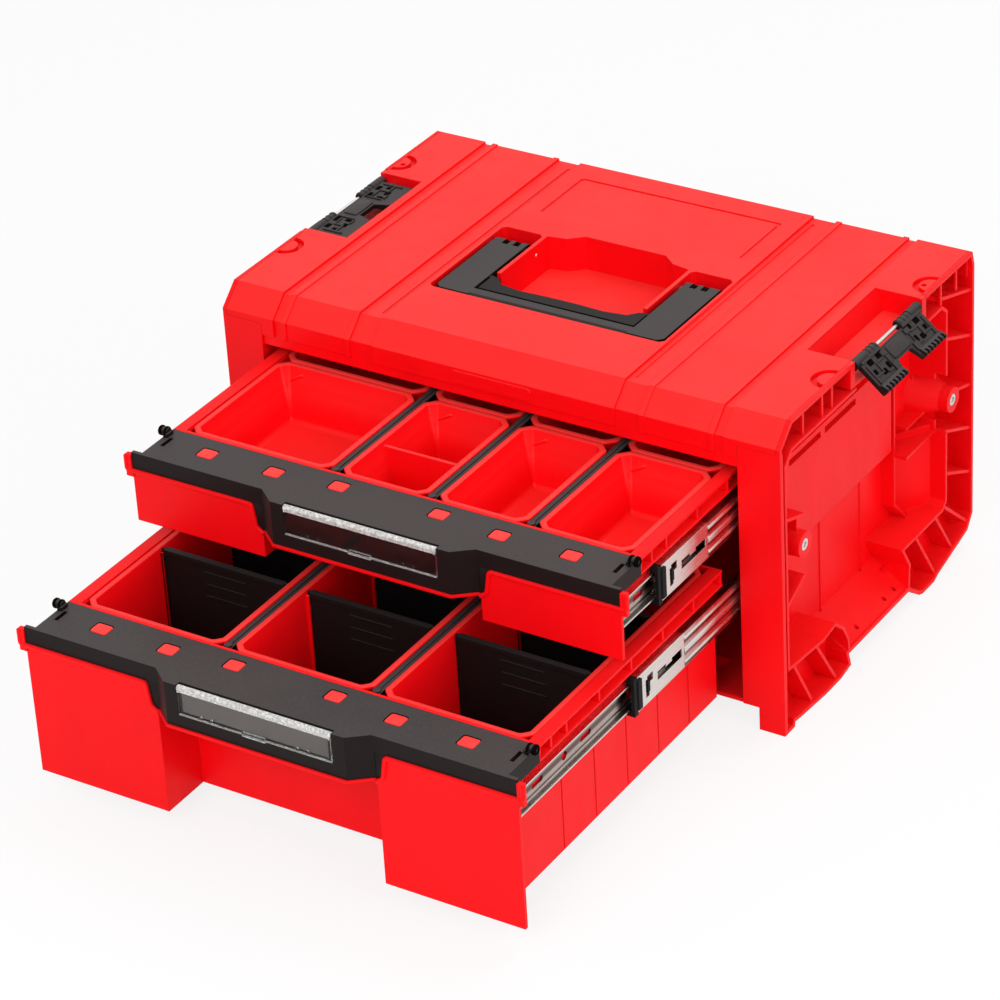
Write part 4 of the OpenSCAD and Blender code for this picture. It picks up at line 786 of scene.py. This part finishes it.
class TOOLBOX_OT_bins(bpy.types.Operator):
    """Loose bins as soft moulded shells with rolled rims, filleted floors and finger marks"""

    bl_idname = "toolbox.bins"
    bl_label = "Bins"

    WALL = 1.6
    FORMS = {"upper": (8.0, 4.5), "lower": (0.1, 3.0)}  # draft of the walls and fillet of the floor by row
    SHEEN_DEPTH = 12.0  # how far down from the top of a bin the painted sheen is full
    SLOPE = (-0.5145, 0, 0.8575)  # upright direction of the slanted finger mark
    PARTED = "upper_bin_2"  # the bin with a fixed inner wall
    PART_SHARE = 0.44  # where that wall stands, from the front of the bin

    def execute(self, context):
        looks = context.scene.box_looks
        rim = looks.rim / MM
        reds = {row: self.bin_red(looks, row) for row in ROWS}
        for name in nodes_of("red_bin_plastic"):
            row = name.split("_")[0]
            low, high = corners(name)
            section = self.section(low, high, rim, *self.FORMS[row])
            shell = cut_corner_loops(low, high, section, looks.corner / MM)
            parts = [shell, self.finger_mark(low, high, rim)]
            if name == self.PARTED:
                parts.append(self.inner_wall(low, high))
            if row == "lower":
                parts += self.guides(name, low, high, rim)
            shells = [skin(loops) for loops in parts]
            piece("soft_" + name, shells, reds[row], BODY_OF[name], "red_bin_plastic", name)
        return {"FINISHED"}

    def bin_red(self, looks, row):
        """Smoother red, with a painted sheen on the rims of a row."""
        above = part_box(row + "_bin_1")[1][2] - self.SHEEN_DEPTH * MM
        return moulded_red(row + " bin red", looks.bin_red, 0.36, 0.12, FINE_EDGE, 0.04, above)

    def section(self, low, high, rim, draft, fillet):
        """(inset, height) from the outside bottom over the rim, down the drafted wall with its small ledge
        and round the floor fillet."""
        wall, bottom, top = self.WALL, low[2], high[2]
        inside = rim + wall
        outer = [
            (rim + 1.6, bottom), (rim + 0.5, bottom + 0.4), (rim, bottom + 1.6), (rim, top - 2.4),
            (0.5, top - 2.4), (0.12, top - 2.25), (0.0, top - 1.9), (0.0, top - 0.9), (0.2, top - 0.35),
            (0.7, top),
        ]
        inner = [
            (inside - 0.9, top), (inside - 0.3, top - 0.25), (inside, top - 0.9),
            (inside + 0.37 * draft, top - 17), (inside + 0.41 * draft, top - 17.4),
        ]
        bend = [
            (inside + draft + fillet * (1 - math.cos(t)), bottom + wall + fillet * (1 - math.sin(t)))
            for t in np.linspace(0, math.pi / 2, 6)
        ]
        return outer + inner + bend

    def finger_mark(self, low, high, rim):
        """Short slanted bar inside the rear wall, by its left corner."""
        y = high[1] - rim - 2.0
        start, stop = (low[0] + 10.5, y, high[2] - 12.2), (low[0] + 21.5, y, high[2] - 5.6)
        return bar_loops(start, stop, (2.0, 1.0), self.SLOPE, 0.6)

    def inner_wall(self, low, high):
        """Fixed wall across a bin, a little lower than its rim."""
        half_thick, end_gap = 1.4, 4
        y = low[1] + self.PART_SHARE * (high[1] - low[1])
        bottom, top = low[2] + 1.2, high[2] - 3.4
        z = (bottom + top) / 2
        start, stop = (low[0] + end_gap, y, z), (high[0] - end_gap, y, z)
        return bar_loops(start, stop, (half_thick, (top - bottom) / 2), UP, 0.6)

    def guides(self, name, low, high, rim):
        """Upright rails on both side walls in front of and behind each divider of the bin."""
        column = int(name[-1])
        beside, off_wall = 2.15, 0.6
        inner = rim + self.WALL
        rails = []
        for divider in ("divider_%d" % (2 * column - 1), "divider_%d" % (2 * column)):
            a, b = corners(divider)
            middle = (a[1] + b[1]) / 2
            for y in (middle - beside, middle + beside):
                for x in (low[0] + inner + off_wall, high[0] - inner - off_wall):
                    start, stop = (x, y, low[2] + 2), (x, y, high[2] - 3.2)
                    rails.append(bar_loops(start, stop, (0.95, 1.3), RIGHT, 0.5))
        return rails


class TOOLBOX_OT_front_details(bpy.types.Operator):
    """Rolled lips and cheeks of the front blocks, snap lugs in the cap windows with a painted shadow round
    each, and knobs of the snap ears
    """

    bl_idname = "toolbox.front_details"
    bl_label = "Front details"

    BULGE = 11.0  # how far the pull stands in front of the blocks
    EAR_RISE = 6.0  # how far the top of the snap ears is above the deck of the cap
    SPOTS = ((145, 21.5), (90, 21.5), (40, 26))  # snap lugs: from the middle, behind the blocks' front
    LUG, SEAT = (6.4, 5.4, 0.5), (6.9, 6.0, 0.3)  # half sizes of a lug and of the dark pad round it that paints the shadow in its window
    SEAT_SHIFT = (-0.7, 0.8)  # the painted shadow shows more on the left and at the rear of a lug
    SQUARE = 7.0  # superellipse power of both
    EAR_X = 184.0  # inner end of a knob
    # (radius, distance) of the knob from its inner end out
    KNOB = (
        (0.0, 0.0), (3.2, 0.0), (3.7, 0.5), (3.7, 1.8), (2.7, 2.2), (2.7, 4.1),
        (3.7, 4.5), (3.7, 6.0), (3.1, 6.8), (1.6, 6.9), (1.4, 6.2), (0.0, 6.2),
    )

    def execute(self, context):
        looks = context.scene.box_looks
        red, cap = finish_of("upper_tray"), finish_of("upper_cap")
        bright = moulded_red("lug red", (looks.red[0], 0.02, 0.02), 0.4, 0.2, FINE_EDGE, 0.035)
        # deep black paints the shadow round the lugs and the shade of the latch hollows and handle slots, and
        # is the own colour of the ear knobs and the grip seam
        deep = moulded_black("deep black", (0.002, 0.0015, 0.0015), 0.8, 0.2, FINE_EDGE, 0.0005, 0.02)
        for row in ROWS:
            low, high = corners(row + "_cap")
            front, top = low[1] + self.BULGE, high[2] - self.EAR_RISE
            drawer = row + "_drawer"
            lugs = [self.pad(x, front + y, top + 0.1, self.LUG) for x, y in self.SPOTS]
            # dark pads just under the lugs paint the shadow in the cap windows
            shadow_pads = [
                self.pad(side * x + self.SEAT_SHIFT[0], front + y + self.SEAT_SHIFT[1], top - 0.02, self.SEAT)
                for x, y in self.SPOTS for side in (-1, 1)
            ]
            piece("front_lips_" + row, pairs([self.lip(front, top)]), red, drawer, "red_plastic")
            piece("snap_lugs_" + row, pairs(lugs), bright, drawer, "red_plastic")
            piece("cap_cheeks_" + row, pairs([self.cheek(front, top)]), cap, drawer, "black_plastic")
            piece("lug_seats_" + row, [skin(loops) for loops in shadow_pads], deep, drawer, "black_plastic")
            piece("ear_knobs_" + row, pairs(self.knob(front, top)), deep, drawer, "black_plastic")
        return {"FINISHED"}

    def pad(self, x, y, z, half):
        """Level rounded rectangle on the cap."""
        return pad_loops((x, y, z), half, UP, RIGHT, self.SQUARE)

    @staticmethod
    def lip(front, top):
        """Lip under the cap: flared end, block top, slanted inner corner."""
        y = front - 0.2
        path = [
            (198.6, y, top - 3.0), (198.6, y, top - 14.4), (94.6, y, top - 14.4), (92.0, y, top - 31.6),
            (86.6, y, top - 35.2),
        ]
        return strip_loops(soft_path(path, 2.4), FORWARD, (1.6, 1.6))

    @staticmethod
    def cheek(front, top):
        """Dark cheek between the pull and the slanted corner: an upright outline in X and Z in three layers
        along Y, the front one drawn in by an inset over the half width."""
        half_width = 4.0
        outline = np.array([(86.3, -12.6), (94.4, -12.6), (92.8, -31.2), (86.3, -34.6)]) + (0, top)
        layers = [(front + 2.4, 0.0), (front + 0.3, 0.0), (front + 0.05, 0.25)]
        depth, inset = np.array(layers).T[..., None, None]
        middle = outline.mean(0)
        flat = middle + (outline - middle) * (1 - inset / half_width)
        return np.concatenate([flat[..., :1], depth * np.ones((1, len(outline), 1)), flat[..., 1:]], -1)

    def knob(self, front, top):
        """Turned knob of a snap ear and the short bar under it."""
        x = self.EAR_X + 1.2
        bar = bar_loops((x, front + 26.5, top - 0.4), (x, front + 34.5, top - 0.4), (0.9, 1.3), UP)
        return [turned_loops(self.KNOB, 0, (self.EAR_X, front + 30.5, top + 3.0)), bar]


class TOOLBOX_OT_latch_details(bpy.types.Operator):
    """Middle panel, ribs, knuckle rings and the painted shade of the hollows of the stacking latches"""

    bl_idname = "toolbox.latch_details"
    bl_label = "Latch details"

    # a latch's own frame: u from the pin, v along it, w off the plate
    PIN = (222.4, 12.5, 236.5)  # middle of the right pin, in the frame of the box
    REST = (("right", 1, math.radians(40)), ("left", -1, math.pi))  # hand, side and turn from level
    FACES = ((1, 1, 1), (1, 1, -1))  # both faces of the plate
    # middle u, middle v, half size along v, half size along u; ribs and the painted shade of hollows are on
    # both halves
    PANEL = (10.6, 0, 12.2, 6.0)
    RIBS = (
        (12.5, 17.6, 0.7, 6.5), (9.6, 25.6, 5.4, 0.7), (13.2, 30.4, 0.7, 4.2), (17.0, 34.5, 5.2, 0.7),
        (19.8, 22.4, 3.2, 0.7), (14.6, 40.4, 1.0, 8.4),
    )
    # flat dark pads on the plate that paint the shade of its hollows
    HOLLOW_SHADES = (
        (6.2, 21.0, 4.6, 2.0), (15.6, 20.8, 2.0, 2.6), (17.4, 28.4, 3.0, 2.2), (6.4, 33.8, 3.4, 2.2),
        (13.6, 36.4, 2.0, 2.0),
    )
    KNUCKLES = (18.2, 23.2, 28.2, 41.6, 46.0)  # places of the rings along v
    # (radius, distance) of a ring
    RING = ((0.0, -0.8), (3.35, -0.8), (3.7, -0.5), (3.7, 0.5), (3.35, 0.8), (0.0, 0.8))

    def execute(self, context):
        black, deep = finish_of("latch_right"), bpy.data.materials["deep black"]
        panel = [self.pad(self.PANEL, 1, 1.9, 0.9, 8.0)]
        ribs = panel + [self.pad(rib, side, 2.0, 0.8) for side in (-1, 1) for rib in self.RIBS]
        rings = [turned_loops([(r, w + side * v) for r, w in self.RING], 1, around=24)
                 for side in (-1, 1) for v in self.KNUCKLES]
        hollow_shades = [self.pad(hollow, side, 1.74, 0.1, steps=2) for side in (-1, 1) for hollow in self.HOLLOW_SHADES]
        high_parts = [loops * face for loops in ribs for face in self.FACES] + rings
        shade_parts = [loops * face for loops in hollow_shades for face in self.FACES]
        for hand, sign, angle in self.REST:
            raised = [skin(self.turn(loops, sign, angle)) for loops in high_parts]
            shade_pads = [skin(self.turn(loops, sign, angle)) for loops in shade_parts]
            piece("latch_ribs_" + hand, raised, black, "latch_" + hand, "black_plastic")
            piece("latch_hollows_" + hand, shade_pads, deep, "latch_" + hand, "black_plastic")
        return {"FINISHED"}

    @staticmethod
    def pad(spot, side, w, half_thick, power=6.0, steps=4):
        """Pad on one half of the latch plate."""
        u, v, half_v, half_u = spot
        return pad_loops((u, side * v, w), (half_v, half_u, half_thick), UP, BACKWARD, power, steps=steps)

    def turn(self, loops, sign, angle):
        """From the latch's own frame to the box: rotation about Y at the pin, mirrored for the left."""
        u, v, w = loops[..., 0], loops[..., 1], loops[..., 2]
        x = self.PIN[0] + u * math.cos(angle) + w * math.sin(angle)
        z = self.PIN[2] - u * math.sin(angle) + w * math.cos(angle)
        return np.stack([sign * x, self.PIN[1] + v, z], -1)


class TOOLBOX_OT_handle_details(bpy.types.Operator):
    """Painted shade of the hinge slots of the handle arms, the dark seam round the grip and the ends of the
    pivot pins
    """

    bl_idname = "toolbox.handle_details"
    bl_label = "Handle details"

    # a pin's end on the wall of the well: inward from the arm, along Y, and down from the top
    PIVOT = (7.0, 12.5, 7.0)
    SLOT, SEAM_DEPTH = (2.45, 4.4, 0.12), 0.12

    def execute(self, context):
        low, high = corners("handle_frame")
        grip_low, grip_high = corners("handle_grip")
        arm = grip_high[0] + 0.4
        # dark pads on the arms paint the shade in their hinge slots
        slots = [
            pad_loops((arm + x, high[1] - 6.0, high[2] - 2.5), self.SLOT, UP, RIGHT, 12.0, steps=2)
            for x in (7.5, 16.5)
        ]
        front, side, level = grip_low[1] + 1.6, grip_high[0] - 0.9, grip_high[2] + 0.03
        seam = bar_loops((side, front, level), (side, front + 18, level), (0.9, self.SEAM_DEPTH), UP, 0.1, 2)
        across = bar_loops((-side, front, level), (side, front, level), (1.3, self.SEAM_DEPTH), UP, 0.1, 2)
        dark = [skin(across)] + pairs(slots + [seam])
        piece("handle_slots", dark, bpy.data.materials["deep black"], "handle", "black_plastic")
        inward, pivot_y, drop = self.PIVOT
        end = dome_loops((inward - arm, pivot_y, high[2] - drop), 1.8, RIGHT, 0.8)
        piece("pivot_ends", pairs([end]), bpy.data.materials["zinc plated steel"], "cabinet", "zinc_steel")
        return {"FINISHED"}


class TOOLBOX_OT_slide_details(bpy.types.Operator):
    """Rolled ridges along the middle slide members"""

    bl_idname = "toolbox.slide_details"
    bl_label = "Slide details"

    RIDGES = ((9.2, 1.3), (-9.2, 1.3), (0.0, 2.4))  # height from the middle and half width
    PROUD = 0.45  # how far they stand out of the member
    FRONT_GAP, REAR_GAP = 62, 3  # from the front and rear end of the member

    def execute(self, context):
        steel = bpy.data.materials["zinc plated steel"]
        for row in ROWS:
            for hand, sign in HANDS:
                low, high = corners("mid_rail_%s_%s" % (row, hand))
                face = high[0] if sign > 0 else low[0]
                side = "%s_%s" % (row, hand)
                shells = []
                for rise, half in self.RIDGES:
                    z = (low[2] + high[2]) / 2 + rise
                    start, stop = (face, low[1] + self.FRONT_GAP, z), (face, high[1] - self.REAR_GAP, z)
                    shells.append(skin(bar_loops(start, stop, (half, self.PROUD), (sign, 0, 0), 0.3)))
                piece("slide_ridges_" + side, shells, steel, "slide_" + side, "zinc_steel")
        return {"FINISHED"}


class TOOLBOX_PT_panel(bpy.types.Panel):
    """Lists the values and operators of the tool box"""

    bl_label = "Tool Box"
    bl_idname = "TOOLBOX_PT_panel"
    bl_space_type = "VIEW_3D"
    bl_region_type = "UI"
    bl_category = "Tool Box"

    def draw(self, context):
        for group in (context.scene.box_looks, context.scene.stage_looks):
            for key in group.__annotations__:
                self.layout.prop(group, key)
        for operator in OPERATORS:
            self.layout.operator(operator.bl_idname)


GROUPS = (BoxLooks, StageLooks)
OPERATORS = (
    TOOLBOX_OT_camera,
    TOOLBOX_OT_stage,
    TOOLBOX_OT_red_mouldings,
    TOOLBOX_OT_dark_mouldings,
    TOOLBOX_OT_steel_parts,
    TOOLBOX_OT_label_covers,
    TOOLBOX_OT_bins,
    TOOLBOX_OT_front_details,
    TOOLBOX_OT_latch_details,
    TOOLBOX_OT_handle_details,
    TOOLBOX_OT_slide_details,
)


def register():
    for cls in GROUPS + OPERATORS + (TOOLBOX_PT_panel,):
        bpy.utils.register_class(cls)
    bpy.types.Scene.box_looks = bpy.props.PointerProperty(type=BoxLooks)
    bpy.types.Scene.stage_looks = bpy.props.PointerProperty(type=StageLooks)


def unregister():
    del bpy.types.Scene.box_looks
    del bpy.types.Scene.stage_looks
    for cls in reversed(GROUPS + OPERATORS + (TOOLBOX_PT_panel,)):
        bpy.utils.unregister_class(cls)


def main():
    """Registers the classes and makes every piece."""
    register()
    for operator in OPERATORS:
        group, name = operator.bl_idname.split(".")
        getattr(getattr(bpy.ops, group), name)()


if __name__ == "__main__":
    main()
